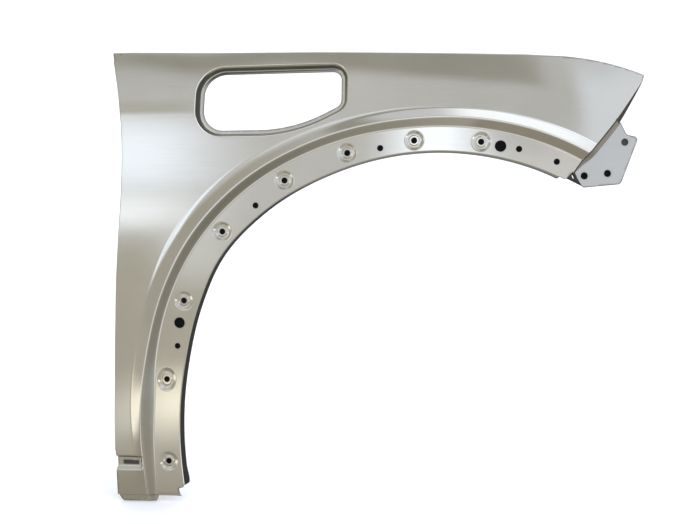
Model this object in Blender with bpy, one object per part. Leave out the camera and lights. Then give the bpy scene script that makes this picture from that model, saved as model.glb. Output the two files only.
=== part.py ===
"""Right front fender of a car: one stamped steel panel and its spot-welded front bracket.

Metres. +X is forward, -Y is outboard and +Z is up. The shape is worked out around the centre of the
wheel arch, and the finished pieces are set down with the rail flange's middle bolt face at the origin.

The panel is made as the press makes it: a flat blank with its outline, holes and bend lines is filled
with triangles, drawn to depth by one height formula, flanged along its borders and given its thickness.
"""
import math

import bmesh
import bpy
import numpy as np
from mathutils import Matrix, Vector
from mathutils.geometry import delaunay_2d_cdt

MM = 0.001
DEG = math.pi / 180

# Sheet metal
SHEET = 0.8 * MM
BRACKET_SHEET = 1.4 * MM
SEAM_GAP = 0.3 * MM

# Wheel arch: radius of the line where the flange turns into the lip. Every place is measured from the
# arch's centre, and what lies round the arch is set off from this radius.
ARCH_RADIUS = 405 * MM

# Overall outline: rear edge behind the arch, top edge over it, and the nose before its front corner
REAR_BEHIND_ARCH = 125 * MM
REAR_X = ARCH_RADIUS + REAR_BEHIND_ARCH
TOP_OVER_ARCH = 169 * MM
TOP_Z = ARCH_RADIUS + TOP_OVER_ARCH
TOP_FALL = 21 * MM
FRONT_CORNER_SHARES = (0.5111, 0.8802)
FRONT_CORNER_X = ARCH_RADIUS * FRONT_CORNER_SHARES[0]
FRONT_CORNER_Z = ARCH_RADIUS * FRONT_CORNER_SHARES[1]
FRONT_CORNER_ROUND = 7 * MM
NOSE_REACH = 129.5 * MM
NOSE_X = FRONT_CORNER_X + NOSE_REACH
NOSE_HEIGHT = 168 * MM
NOSE_Z = FRONT_CORNER_Z + NOSE_HEIGHT
NOSE_LENGTH = 151.5 * MM
NOSE_START_X = NOSE_X - NOSE_LENGTH
NOSE_ROUND = 3 * MM
REAR_WAIST = 26.5 * MM
TOP_CORNER_ROUND = 2 * MM

# Rear edge: height from the lower fold to the top, and how far the edge swings forward
REAR_SHARES = ((0.0, 0.15), (0.10, 0.14), (0.265, 0.27), (0.40, 0.40), (0.48, 0.49), (0.586, 0.69),
               (0.692, 0.92), (0.78, 1.0), (0.835, 0.955), (0.89, 0.77), (0.946, 0.43), (1.0, 0.0))
REAR_STEPS = 34

# Front edge: way from the nose back to the lower corner, along and down
FRONT_SHARES = ((0.0, 0.0), (0.195, 0.222), (0.392, 0.437), (0.641, 0.675), (0.735, 0.753), (0.81, 0.82),
                (0.905, 0.925))
FRONT_STEPS = 19

# Lower end: fold line, stepped tab, and the notch below the arch lip
FOLD_Z = 165.5 * MM
FOLD_RUN = 1.6 * MM
TAB_STEP = 4.5 * MM
TAB_DROP = 12 * MM
TAB_INSET = 7 * MM
TAB_WIDTH = 58 * MM
TAB_ROUND = 7 * MM
STRIP_DROP = 2.6 * MM
FOOT_BEHIND_ARCH = 12.6 * MM
FOOT_X = ARCH_RADIUS + FOOT_BEHIND_ARCH
FOOT_CORNER_ROUND = 1.2 * MM
NOTCH_BEHIND_FOOT = 4 * MM
NOTCH_X = FOOT_X + NOTCH_BEHIND_FOOT
NOTCH_Z = 152.5 * MM
NOTCH_ROUND = 2.4 * MM
LIP_END_Z = 148 * MM

# Bands outside the arch. The shares follow the angle round the arch centre, from the rear foot up over
# the top to the front.
FLANGE_WIDTH = 44 * MM
STEP_WIDTH = 13 * MM
FLARE_WIDTH = 18 * MM
SKIN_RISE = 6 * MM
FLARE_RISE = 8 * MM
BAND_ANGLES = (-26, -16, -8, 0, 8, 22, 34, 48, 66, 85, 103, 118, 132)
ARCH_SHARES = (1.110, 1.068, 1.043, 1.0257, 1.0155, 1.0193, 1.0311, 1.0188, 1.0, 0.9978, 1.0054, 1.0193,
               1.034)
FLANGE_SHARES = (1.16, 1.05, 1.0, 0.98, 1.09, 1.10, 0.99, 1.01, 0.98, 0.865, 0.87, 0.873, 0.875)
STEP_SHARES = (0.55, 1.3, 1.54, 1.5, 1.06, 0.93, 1.0, 1.0, 0.92, 0.92, 1.04, 1.11, 1.12)
FLARE_SHARES = (0.9, 0.9, 0.9, 1.03, 1.14, 1.28, 1.22, 1.1, 0.97, 0.97, 0.9, 0.97, 1.0)
SKIN_RISE_SHARES = (0.3, 0.7, 0.95, 1.0, 1.0, 1.0, 1.0, 1.0, 1.0, 1.0, 1.0, 1.0, 1.0)
FLARE_RISE_SHARES = (0.0, 0.02, 0.3, 0.95, 1.0, 0.85, 0.78, 0.78, 0.85, 1.0, 1.0, 1.0, 1.0)
FLARE_SOFT_SHARES = (0.5, 0.5, 0.5, 0.5, 0.6, 1.3, 1.6, 1.6, 1.4, 0.9, 0.5, 0.45, 0.45)
BEND_ROUND = 1.8 * MM
FLARE_SOFT = 5 * MM
BAND_STEPS = 64
FOOT_ANGLE = -24
FRONT_ANGLE = 126

# Form of the body side: crease, crown above and below it, and the turn-in towards the nose
CREASE_OVER_ARCH = 65 * MM
CREASE_Z = ARCH_RADIUS + CREASE_OVER_ARCH
CREASE_FALL_SHARE = 0.158
CREASE_FRONT_SHARE = 0.07
CREASE_ROUND = 3 * MM
CREASE_FRONT_ROUND = 26 * MM
CREASE_FADE_LENGTH = 240 * MM
UPPER_CROWN = 400 * MM
LOWER_CROWN = 9000 * MM
PLAN_START = -150 * MM
PLAN_CROWN = 6000 * MM
NOSE_CURVE_START = 150 * MM
NOSE_CROWN = 700 * MM
CROWN_BLEND = 20 * MM

# Side vent: corners of the cut edge with their radii, and the recessed rim round it
VENT_FROM_REAR = 159 * MM
VENT_LEFT = VENT_FROM_REAR - REAR_X
VENT_LENGTH = 225 * MM
VENT_RIGHT = VENT_LEFT + VENT_LENGTH
VENT_FROM_TOP = 40.5 * MM
VENT_TOP = TOP_Z - VENT_FROM_TOP
VENT_HEIGHT = 92.8 * MM
VENT_BOTTOM = VENT_TOP - VENT_HEIGHT
VENT_FRONT_HEIGHT = 54 * MM
VENT_RIGHT_LOW = VENT_TOP - VENT_FRONT_HEIGHT
VENT_KNEE_LENGTH = 148 * MM
VENT_KNEE_X = VENT_LEFT + VENT_KNEE_LENGTH
VENT_TOP_LEFT_ROUND = 36 * MM
VENT_TOP_RIGHT_ROUND = 14 * MM
VENT_LOW_RIGHT_ROUND = 14 * MM
VENT_KNEE_ROUND = 250 * MM
VENT_LOW_LEFT_ROUND = 31 * MM
VENT_DEPTH = 14 * MM
VENT_FLANGE = 6.5 * MM
VENT_DRAFT = 4.6 * MM
VENT_ROUND = 1.6 * MM

# Lower joggle with its slot
JOGGLE_TOP = -98 * MM
JOGGLE_HEIGHT = 24 * MM
JOGGLE_DEPTH = 4 * MM
JOGGLE_WALL = 3 * MM
JOGGLE_LOWER_WALL = 6 * MM
JOGGLE_LENGTH = 50 * MM
JOGGLE_END_X = JOGGLE_LENGTH - REAR_X
JOGGLE_END_RUN = 6 * MM
JOGGLE_ROUND = 1.2 * MM
SLOT_FROM_REAR = 16 * MM
SLOT_LEFT = SLOT_FROM_REAR - REAR_X
SLOT_LENGTH = 25 * MM
SLOT_RIGHT = SLOT_LEFT + SLOT_LENGTH
SLOT_Z = -109.8 * MM
SLOT_HEIGHT = 5.6 * MM
SLOT_ROUND = 1.2 * MM

# Holes of the arch flange: angle round the arch and way across the flange, as a share of its width
CLIP_RADIUS = 4.7 * MM
LOCATOR_RADIUS = 8.8 * MM
SEAT_RADIUS = 15.5 * MM
SEAT_FLOOR = 11.2 * MM
SEAT_PAD = 9.2 * MM
SEAT_PAD_TOP = 7.4 * MM
SEAT_DEPTH = 2.4 * MM
SEAT_PAD_RISE = 1.0 * MM
LONG_SEAT_SHARE = 1.25
SEAT_SHARES = ((-13.7, 0.46, 1.0), (4.2, 0.56, LONG_SEAT_SHARE), (21.9, 0.51, 1.0), (39.1, 0.50, 1.0),
               (56.5, 0.48, 1.0), (71.3, 0.47, 1.0), (86.0, 0.45, 1.0), (100.3, 0.46, 1.0))
CLIP_SHARES = ((11.9, 0.33), (48.2, 0.33), (78.5, 0.33), (108.4, 0.48), (116.7, 0.50))
LOCATOR_SHARES = ((17.0, 0.43), (104.5, 0.42))
SEAT_SIDES = 16
CLIP_SIDES = 12
LOCATOR_SIDES = 16

# Arch lip and the returns along the other borders
LIP_DEPTH = 24 * MM
LIP_ROUND = 2 * MM
LIP_FOOT_FLARE = 14 * DEG
LIP_FOOT_LENGTH = 30 * MM
LIP_FOOT_TRIM_SHARE = 0.3
LIP_FOOT_TRIM_POWER = 4
REAR_RETURN = 9 * MM
RETURN_ROUND = 1.6 * MM
RETURN_RELIEF = 7 * MM
FRONT_STRIP = 15 * MM
FRONT_STRIP_ANGLE = 58 * DEG
FRONT_STRIP_START_SHARE = 0.03
FRONT_STRIP_SHARE = 0.4
FRONT_STRIP_TIP_SHARE = 0.12
FRONT_STRIP_OVERLAP_SHARE = 0.02
FRONT_RETURN = 14 * MM
FRONT_RETURN_START_SHARE = 0.44
FRONT_RETURN_END_SHARE = 0.87

# Hidden upper flange that bolts to the inner wing rail
RAIL_DROP = 9 * MM
RAIL_DROP_ANGLE = 158 * DEG
RAIL_ROUND = 2.5 * MM
RAIL_WIDTH = 24 * MM
RAIL_NARROW = 15 * MM
RAIL_TAB_WIDTH = 46 * MM
RAIL_TAB_SLANT = 12 * MM
RAIL_FROM_REAR = 14 * MM
RAIL_START_X = RAIL_FROM_REAR - REAR_X
RAIL_LENGTH = 684 * MM
RAIL_END_X = RAIL_START_X + RAIL_LENGTH
RAIL_HOLE_RADIUS = 4.5 * MM
RAIL_HOLE_SHARES = (0.07, 0.29, 0.5, 0.73, 0.94)
RAIL_MIDDLE_SHARE = 0.4

# Front bracket: a turned-in plate, its corners as shares of its length and height from the front corner
PLATE_TURN_REACH = 33 * MM
PLATE_X = FRONT_CORNER_X + PLATE_TURN_REACH
PLATE_Y = 33 * MM
PLATE_TURN_IN_SHARE = 0.22
PLATE_LENGTH = 120 * MM
PLATE_HEIGHT = 92 * MM
PLATE_STEP_SHARES = (0.854, 0.815)
PLATE_FRONT_SHARES = (1.02, 0.772)
PLATE_LOW_SHARES = (0.779, -0.049)
PLATE_HEEL_SHARES = (0.2625, -0.116)
PLATE_STEP_ROUND = 8 * MM
PLATE_FRONT_ROUND = 6 * MM
PLATE_LOW_ROUND = 8 * MM
PLATE_HEEL_ROUND = 4 * MM
PLATE_HOLE_SHARES = ((0.8275, 0.6815), (0.595, 0.135), (0.279, 0.089))
PLATE_HOLE_RADIUS = 5.5 * MM
PLATE_HOLE_SIDES = 14
PLATE_FILL = 16 * MM
SEAM_START_SHARE = 0.425
SEAM_END_SHARE = 0.905
SEAM_STEPS = 9
SEAM_TAPER_SHARE = 0.72
STRIP_WIDTH = 9 * MM
STRIP_END_SHARE = 0.25
STRIP_RISE_SHARE = 0.6
WELD_SET_BACK = 3 * MM
WALL_TOP_INSET = 4 * MM
WALL_TOP_WIDTH = 9 * MM
WALL_STEPS = 3
WALL_SLOT_LENGTH = 6 * MM
WALL_SLOT_HEIGHT = 1.8 * MM
WALL_SLOT_SHARE = 0.55
WALL_SLOT_TURN = 40 * DEG

# Resolution of the blank and the tolerance for finding its borders
FILL_STEP = 24 * MM
CURVE_STEP = 11 * MM
CORNER_STEP = 20 * DEG
BORDER_TOLERANCE = 0.6 * MM
PROBE = 0.3 * MM
MERGE = 0.02 * MM
CUT_OVERRUN = 6 * MM
FILL_CLEAR_SHARE = 0.45
SPLIT_SLACK_SHARE = 0.01
ARCH_PROBE_ANGLE = 0.5
SHARP_ANGLE = 35 * DEG
SHINE_SHARE = 0.85
BEND_STEPS = 3


def ramp(distance, rounding):
    """Nothing before the start, an even rise after it, and a parabola between them."""
    d = np.asarray(distance, dtype=float)
    curve = (d + rounding) ** 2 / (4 * rounding)
    return np.where(d <= -rounding, 0.0, np.where(d >= rounding, d, curve))


def rise(distance, width, height, low_round, high_round):
    """A straight wall of one height over one width, rounded where it starts and where it ends."""
    climb = ramp(distance, low_round) - ramp(distance - width, high_round)
    return height * climb / width


def fade(value, start, end):
    """From 0 at the start to 1 at the end, level at both."""
    t = np.clip((np.asarray(value, dtype=float) - start) / (end - start), 0.0, 1.0)
    return t * t * (3 - 2 * t)


def follow(stations, shares, station):
    """A smooth curve through a table of shares."""
    at = np.asarray(stations, dtype=float)
    value = np.asarray(shares, dtype=float)
    slope = np.gradient(value, at)
    s = np.clip(np.asarray(station, dtype=float), at[0], at[-1])
    i = np.clip(np.searchsorted(at, s, side="right") - 1, 0, len(at) - 2)
    gap = at[i + 1] - at[i]
    t = (s - at[i]) / gap
    start = (1 + 2 * t) * (1 - t) ** 2 * value[i] + t * (1 - t) ** 2 * gap * slope[i]
    end = t * t * (3 - 2 * t) * value[i + 1] - t * t * (1 - t) * gap * slope[i + 1]
    return start + end


def band(shares, angle):
    """A share of one arch band at an angle in degrees."""
    return follow(BAND_ANGLES, shares, angle)


def polar(x, z):
    """Angle in degrees from straight back, and distance, round the arch centre."""
    return np.degrees(np.arctan2(z, -np.asarray(x))), np.hypot(x, z)


def at_polar(angle, radius):
    """Point at an angle in degrees and a radius round the arch centre."""
    return -radius * np.cos(np.radians(angle)), radius * np.sin(np.radians(angle))


def arch_radius(angle):
    return ARCH_RADIUS * band(ARCH_SHARES, angle)


def flange_width(angle):
    return FLANGE_WIDTH * band(FLANGE_SHARES, angle)


def step_width(angle):
    return STEP_WIDTH * band(STEP_SHARES, angle)


def flare_width(angle):
    return FLARE_WIDTH * band(FLARE_SHARES, angle)


def flare_soft(angle):
    return FLARE_SOFT * band(FLARE_SOFT_SHARES, angle)


def top_z(x):
    """Height of the top edge: a gently falling line that drops along a parabola to the nose."""
    line = TOP_Z - TOP_FALL * (x + REAR_X) / (NOSE_START_X + REAR_X)
    end = TOP_Z - TOP_FALL * (NOSE_X + REAR_X) / (NOSE_START_X + REAR_X)
    past = np.maximum(x - NOSE_START_X, 0.0) / (NOSE_X - NOSE_START_X)
    return line - (end - NOSE_Z) * past ** 2


def rear_x(z):
    """Place of the rear edge at a height."""
    height = (np.asarray(z) + FOLD_Z) / (TOP_Z + FOLD_Z)
    stations, shares = zip(*REAR_SHARES)
    return -REAR_X + REAR_WAIST * follow(stations, shares, height)


def body_height(x, z):
    """How far the body side stands outboard, before the arch bands, the vent and the joggle."""
    plan = ramp(x - PLAN_START, CROWN_BLEND) ** 2 / (2 * PLAN_CROWN)
    nose = ramp(x - NOSE_CURVE_START, CROWN_BLEND) ** 2 / (2 * NOSE_CROWN)
    lower = ramp(CREASE_Z - z, CROWN_BLEND) ** 2 / (2 * LOWER_CROWN)
    above = ramp(z - CREASE_Z, CROWN_BLEND) ** 2 / (2 * UPPER_CROWN)
    front = fade(x, VENT_RIGHT - CREASE_FADE_LENGTH, VENT_RIGHT)
    fall = CREASE_FALL_SHARE + (CREASE_FRONT_SHARE - CREASE_FALL_SHARE) * front
    rounding = CREASE_ROUND + (CREASE_FRONT_ROUND - CREASE_ROUND) * front
    return -(plan + nose + lower + above + fall * ramp(z - CREASE_Z, rounding))


def arch_height(x, z):
    """Rise of the step wall, the flare and the skin over the arch flange."""
    angle, radius = polar(x, z)
    across = radius - arch_radius(angle) - flange_width(angle)
    flare = FLARE_RISE * band(FLARE_RISE_SHARES, angle)
    step = SKIN_RISE * band(SKIN_RISE_SHARES, angle) + flare
    up = rise(across, step_width(angle), step, BEND_ROUND, BEND_ROUND)
    down = rise(across - step_width(angle), flare_width(angle), flare, BEND_ROUND, flare_soft(angle))
    return up - down


def vent_corners(offset):
    """Corners of the vent's outline with their radii, grown outwards by an offset."""
    rise_share = (VENT_RIGHT_LOW - VENT_BOTTOM) / (VENT_RIGHT - VENT_KNEE_X)
    slant = math.hypot(1, rise_share)
    knee_shift = offset * (slant - 1) / rise_share
    right_drop = offset * (slant - rise_share)
    return (((VENT_LEFT - offset, VENT_TOP + offset), VENT_TOP_LEFT_ROUND + offset),
            ((VENT_LEFT - offset, VENT_BOTTOM - offset), VENT_LOW_LEFT_ROUND + offset),
            ((VENT_KNEE_X + knee_shift, VENT_BOTTOM - offset), VENT_KNEE_ROUND + offset),
            ((VENT_RIGHT + offset, VENT_RIGHT_LOW - right_drop), VENT_LOW_RIGHT_ROUND + offset),
            ((VENT_RIGHT + offset, VENT_TOP + offset), VENT_TOP_RIGHT_ROUND + offset))


def spun(arm, angle):
    """An arm turned by an angle."""
    c, s = math.cos(angle), math.sin(angle)
    return np.array((arm[0] * c - arm[1] * s, arm[0] * s + arm[1] * c))


def rounded(corners, step=CORNER_STEP, closed=True):
    """Points along a polygon whose corners are arcs of their own radii."""
    points = []
    count = len(corners)
    for i, (corner, radius) in enumerate(corners):
        here = np.array(corner)
        if not closed and i in (0, count - 1):
            points.append(here)
            continue
        before = np.array(corners[i - 1][0]) - here
        after = np.array(corners[(i + 1) % count][0]) - here
        back = before / np.hypot(*before)
        ahead = after / np.hypot(*after)
        half = math.acos(max(-1.0, min(1.0, float(back @ ahead)))) / 2
        reach = radius / math.tan(half)
        middle = here + (back + ahead) / np.hypot(*(back + ahead)) * radius / math.sin(half)
        start = here + back * reach - middle
        turn = math.pi - 2 * half
        side = 1 if back[0] * ahead[1] - back[1] * ahead[0] < 0 else -1
        arcs = max(2, math.ceil(turn / step))
        for k in range(arcs + 1):
            points.append(middle + spun(start, side * turn * k / arcs))
    return points


def distance_inside(x, z, loop):
    """Signed distance to a closed loop, positive inside it."""
    point = np.stack([np.ravel(x), np.ravel(z)], axis=1)
    start = np.array(loop)
    way = np.roll(start, -1, axis=0) - start
    offset = point[:, None, :] - start[None, :, :]
    t = np.clip((offset * way).sum(axis=2) / (way * way).sum(axis=1), 0.0, 1.0)
    gap = np.hypot(*np.moveaxis(offset - t[:, :, None] * way, 2, 0)).min(axis=1)
    return np.where(inside(point, loop), gap, -gap).reshape(np.shape(x))


def inside(points, loop):
    """Which points lie inside a closed loop."""
    p = np.asarray(points, dtype=float)
    a = np.array(loop)
    b = np.roll(a, -1, axis=0)
    within = np.zeros(len(p), dtype=bool)
    for (x0, z0), (x1, z1) in zip(a, b):
        if z0 == z1:
            continue
        crosses = (z0 > p[:, 1]) != (z1 > p[:, 1])
        within ^= crosses & (p[:, 0] < (x1 - x0) * (p[:, 1] - z0) / (z1 - z0) + x0)
    return within


def vent_height(x, z):
    """The vent's rim falls to a recessed flat flange."""
    rim = rounded(vent_corners(VENT_FLANGE + VENT_DRAFT))
    return -rise(distance_inside(x, z, rim), VENT_DRAFT, VENT_DEPTH, VENT_ROUND, VENT_ROUND)


def joggle_height(x, z):
    """The groove across the lower end."""
    down = rise(JOGGLE_TOP - z, JOGGLE_WALL, 1.0, JOGGLE_ROUND, JOGGLE_ROUND)
    up = rise(JOGGLE_TOP - JOGGLE_HEIGHT + JOGGLE_LOWER_WALL - z, JOGGLE_LOWER_WALL, 1.0,
              JOGGLE_ROUND, JOGGLE_ROUND)
    along = 1 - fade(x, JOGGLE_END_X - JOGGLE_END_RUN, JOGGLE_END_X)
    return -JOGGLE_DEPTH * (down - up) * along


def tab_height(z):
    """The lower tab steps inboard at the fold."""
    return -rise(-FOLD_Z - z, FOLD_RUN, TAB_STEP, FOLD_RUN / 2, FOLD_RUN / 2)


def seat_place(angle, share):
    """Centre of a hole, by its angle and its way across the flange."""
    return at_polar(angle, arch_radius(angle) + share * flange_width(angle))


def seat_height(x, z):
    """Round recesses with a raised pad about the clip holes."""
    total = np.zeros(np.shape(x))
    for angle, share, long_share in SEAT_SHARES:
        cx, cz = seat_place(angle, share)
        a = math.radians(angle)
        out = -(x - cx) * math.cos(a) + (z - cz) * math.sin(a)
        along = ((x - cx) * math.sin(a) + (z - cz) * math.cos(a)) / long_share
        reach = np.hypot(out, along)
        wall = SEAT_RADIUS - SEAT_FLOOR
        total -= rise(SEAT_RADIUS - reach, wall, SEAT_DEPTH, wall / 4, wall / 4)
        pad_wall = SEAT_PAD - SEAT_PAD_TOP
        total += rise(SEAT_PAD - reach, pad_wall, SEAT_PAD_RISE, pad_wall / 4, pad_wall / 4)
    return total


def outboard(x, z):
    """Full height of the panel's outer face over the arch flange."""
    base = body_height(x, z) + arch_height(x, z) + vent_height(x, z)
    return base + joggle_height(x, z) + tab_height(z) + seat_height(x, z)


def along(start, end, count):
    """Evenly spaced values with both ends."""
    return [start + (end - start) * i / count for i in range(count + 1)]


def circle(cx, cz, radius, sides, angle=0, stretch=1.0):
    """Ring of points, which may be stretched along the arch."""
    ring = []
    a = math.radians(angle)
    for i in range(sides):
        t = 2 * math.pi * i / sides
        out = radius * math.cos(t)
        way = radius * stretch * math.sin(t)
        ring.append((cx - out * math.cos(a) + way * math.sin(a), cz + out * math.sin(a) + way * math.cos(a)))
    return ring


def arch_line(offset, steps=BAND_STEPS, start=FOOT_ANGLE, end=FRONT_ANGLE):
    """A line that follows the arch at an offset from the lip bend."""
    return [at_polar(a, arch_radius(a) + offset(a)) for a in along(start, end, steps)]


def foot_outline():
    """Border of the lower end, from the rear edge round the tab to the notch."""
    rear = float(rear_x(-FOLD_Z))
    tab_left = rear + TAB_INSET
    tab_right = tab_left + TAB_WIDTH
    strip = -FOLD_Z - STRIP_DROP
    bottom = -FOLD_Z - TAB_DROP
    lip_x, lip_z = lip_end()
    return rounded((((rear, -FOLD_Z + TAB_INSET), 0),
                    ((rear, -FOLD_Z), TAB_INSET / 3),
                    ((tab_left, bottom), TAB_ROUND),
                    ((tab_right, bottom), TAB_ROUND / 2),
                    ((tab_right + TAB_INSET / 2, strip), TAB_ROUND / 3),
                    ((-FOOT_X, strip), FOOT_CORNER_ROUND),
                    ((-NOTCH_X, -NOTCH_Z - NOTCH_ROUND / 2), NOTCH_ROUND),
                    ((lip_x - NOTCH_ROUND / 4, -NOTCH_Z + NOTCH_ROUND / 2), NOTCH_ROUND / 4),
                    ((lip_x, lip_z), 0)), closed=False)


def lip_end():
    """Where the arch lip ends above the notch."""
    angle = FOOT_ANGLE
    for _ in range(12):
        angle = -math.degrees(math.asin(LIP_END_Z / float(arch_radius(angle))))
    return at_polar(angle, float(arch_radius(angle)))


def arch_border():
    """Border along the lip bend, from the notch to the front corner."""
    first = float(polar(*lip_end())[0])
    last = float(polar(FRONT_CORNER_X, FRONT_CORNER_Z)[0]) - math.degrees(FRONT_CORNER_ROUND / ARCH_RADIUS)
    return [at_polar(a, float(arch_radius(a))) for a in along(first, last, BAND_STEPS)]


def front_border():
    """Border from the lower front corner up to the nose."""
    along_shares, down_shares = zip(*FRONT_SHARES)
    points = []
    for t in along(0, 1, FRONT_STEPS):
        stations = np.linspace(0, 1, len(FRONT_SHARES))
        x = NOSE_X - (NOSE_X - FRONT_CORNER_X) * float(follow(stations, along_shares, t))
        z = NOSE_Z - (NOSE_Z - FRONT_CORNER_Z) * float(follow(stations, down_shares, t))
        points.append((x, z))
    return points[::-1]


def corner_points(before, corner, after, radius):
    """Arc that rounds one corner of the border."""
    return rounded(((before, 0), (corner, radius), (after, 0)), closed=False)[1:-1]


def top_border():
    """Top edge from the nose back to the rear."""
    straight = int((NOSE_START_X + REAR_X) / (3 * CURVE_STEP))
    curve = int((NOSE_X - NOSE_START_X) / CURVE_STEP)
    xs = along(NOSE_X, NOSE_START_X, curve)[1:] + along(NOSE_START_X, -REAR_X, straight)[1:-1]
    return [(x, float(top_z(x))) for x in xs]


def rear_border():
    """Rear edge from the top down to the joggle and on to the lower end."""
    relief = TOP_CORNER_ROUND * 2
    upper = along(TOP_Z - relief, JOGGLE_TOP + JOGGLE_ROUND, REAR_STEPS)
    low_end = JOGGLE_TOP - JOGGLE_HEIGHT
    lower = along(low_end - JOGGLE_ROUND, -FOLD_Z + 2 * TAB_INSET, 2)
    joggle = [(float(rear_x(z)) + JOGGLE_DEPTH / 2, z)
              for z in (JOGGLE_TOP - JOGGLE_WALL, low_end + JOGGLE_LOWER_WALL)]
    return [(float(rear_x(z)), z) for z in upper] + joggle + [(float(rear_x(z)), z) for z in lower]


def panel_outline():
    """Whole border of the blank, as one closed loop."""
    arch = arch_border()
    front = front_border()
    top = top_border()
    corner = (FRONT_CORNER_X, FRONT_CORNER_Z)
    rear_top = (float(rear_x(TOP_Z)), float(top_z(-REAR_X)))
    rear = rear_border()
    low = corner_points(arch[-1], corner, front[0], FRONT_CORNER_ROUND)
    nose = corner_points(front[-2], front[-1], top[0], NOSE_ROUND)
    high = corner_points(top[-1], rear_top, rear[0], TOP_CORNER_ROUND)
    return foot_outline()[:-1] + arch + low + front[:-1] + nose + top + high + rear


def flange_holes():
    """Every round hole of the arch flange."""
    holes = []
    for angle, share, _ in SEAT_SHARES:
        holes.append(circle(*seat_place(angle, share), CLIP_RADIUS, CLIP_SIDES, angle))
    for angle, share in CLIP_SHARES:
        holes.append(circle(*seat_place(angle, share), CLIP_RADIUS, CLIP_SIDES, angle))
    for angle, share in LOCATOR_SHARES:
        holes.append(circle(*seat_place(angle, share), LOCATOR_RADIUS, LOCATOR_SIDES, angle))
    return holes


def joggle_slot():
    """The oblong slot in the joggle."""
    half = SLOT_HEIGHT / 2
    return rounded((((SLOT_LEFT, SLOT_Z - half), SLOT_ROUND), ((SLOT_RIGHT, SLOT_Z - half), SLOT_ROUND),
                    ((SLOT_RIGHT, SLOT_Z + half), SLOT_ROUND), ((SLOT_LEFT, SLOT_Z + half), SLOT_ROUND)))


def cut_loops():
    """Loops that are cut out of the blank."""
    return [rounded(vent_corners(0.0))] + flange_holes() + [joggle_slot()]


def arch_lines():
    """Bend lines of the arch bands, on both sides of each bend."""
    lines = []
    for near in (-BEND_ROUND, BEND_ROUND):
        lines.append(arch_line(lambda a, n=near: float(flange_width(a)) + n))
        lines.append(arch_line(lambda a, n=near: float(flange_width(a) + step_width(a)) + n))
    for side in (-1, 1):
        lines.append(arch_line(lambda a, s=side: float(
            flange_width(a) + step_width(a) + flare_width(a) + s * flare_soft(a))))
    return lines


def seat_rings():
    """Rings where the seats' walls start and end."""
    wall = (SEAT_RADIUS - SEAT_FLOOR) / 4
    rings = []
    for angle, share, long_share in SEAT_SHARES:
        for radius in (SEAT_RADIUS + wall, SEAT_RADIUS - wall, SEAT_FLOOR, SEAT_PAD, SEAT_PAD_TOP):
            rings.append(circle(*seat_place(angle, share), radius, SEAT_SIDES, angle, long_share))
    return rings


def vent_rings():
    """Loops where the vent's wall starts and ends."""
    wall = VENT_FLANGE + VENT_DRAFT
    return [rounded(vent_corners(o)) for o in
            (wall + VENT_ROUND, wall - VENT_ROUND, VENT_FLANGE + VENT_ROUND, VENT_FLANGE - VENT_ROUND)]


def level_line(x0, x1, z):
    """Level line across the blank."""
    return [(x, z) for x in along(x0, x1, max(1, int(abs(x1 - x0) / (2 * CURVE_STEP))))]


def body_lines():
    """Lines that the body's crease, the joggle and the fold follow."""
    lines = []
    for z in (CREASE_Z - CREASE_ROUND, CREASE_Z + CREASE_ROUND):
        lines.append(level_line(float(rear_x(z)), VENT_LEFT - VENT_FLANGE - VENT_DRAFT - 2 * VENT_ROUND, z))
    low = JOGGLE_TOP - JOGGLE_HEIGHT
    for z in (JOGGLE_TOP + JOGGLE_ROUND, JOGGLE_TOP - JOGGLE_WALL - JOGGLE_ROUND,
              low + JOGGLE_LOWER_WALL + JOGGLE_ROUND, low - JOGGLE_ROUND):
        lines.append(level_line(-REAR_X - CURVE_STEP, JOGGLE_END_X, z))
    lines.append([(JOGGLE_END_X - JOGGLE_END_RUN, JOGGLE_TOP + JOGGLE_ROUND),
                  (JOGGLE_END_X - JOGGLE_END_RUN, low - JOGGLE_ROUND)])
    lines.append([(JOGGLE_END_X, JOGGLE_TOP + JOGGLE_ROUND), (JOGGLE_END_X, low - JOGGLE_ROUND)])
    for z in (-FOLD_Z + FOLD_RUN / 2, -FOLD_Z - FOLD_RUN / 2, -FOLD_Z - 3 * FOLD_RUN / 2):
        lines.append(level_line(-REAR_X - CURVE_STEP, -FOOT_X + CURVE_STEP, z))
    return lines


def fill_points(fixed, outline, cuts, step):
    """Spread points over the open parts of the blank, clear of its lines."""
    border = np.array(outline)
    low, high = border.min(axis=0), border.max(axis=0)
    rows = int((high[1] - low[1]) / (step * math.sin(math.pi / 3))) + 1
    columns = int((high[0] - low[0]) / step) + 1
    spread = []
    for row in range(rows):
        z = low[1] + row * step * math.sin(math.pi / 3)
        shift = step / 2 if row % 2 else 0.0
        spread += [(low[0] + shift + column * step, z) for column in range(columns)]
    spread = np.array(spread)
    keep = inside(spread, outline)
    for loop in cuts:
        keep &= ~inside(spread, loop)
    spread = spread[keep]
    near = np.array([np.hypot(*(fixed - p).T).min() for p in spread])
    return [tuple(p) for p in spread[near > FILL_CLEAR_SHARE * step]]


def densify(line, closed, step):
    """Add points to the long stretches of a line."""
    result = []
    count = len(line) if closed else len(line) - 1
    for i in range(count):
        a = np.array(line[i])
        b = np.array(line[(i + 1) % len(line)])
        parts = max(1, math.ceil(np.hypot(*(b - a)) / step - SPLIT_SLACK_SHARE))
        result += [tuple(a + (b - a) * k / parts) for k in range(parts)]
    if not closed:
        result.append(tuple(line[-1]))
    return result


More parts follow.
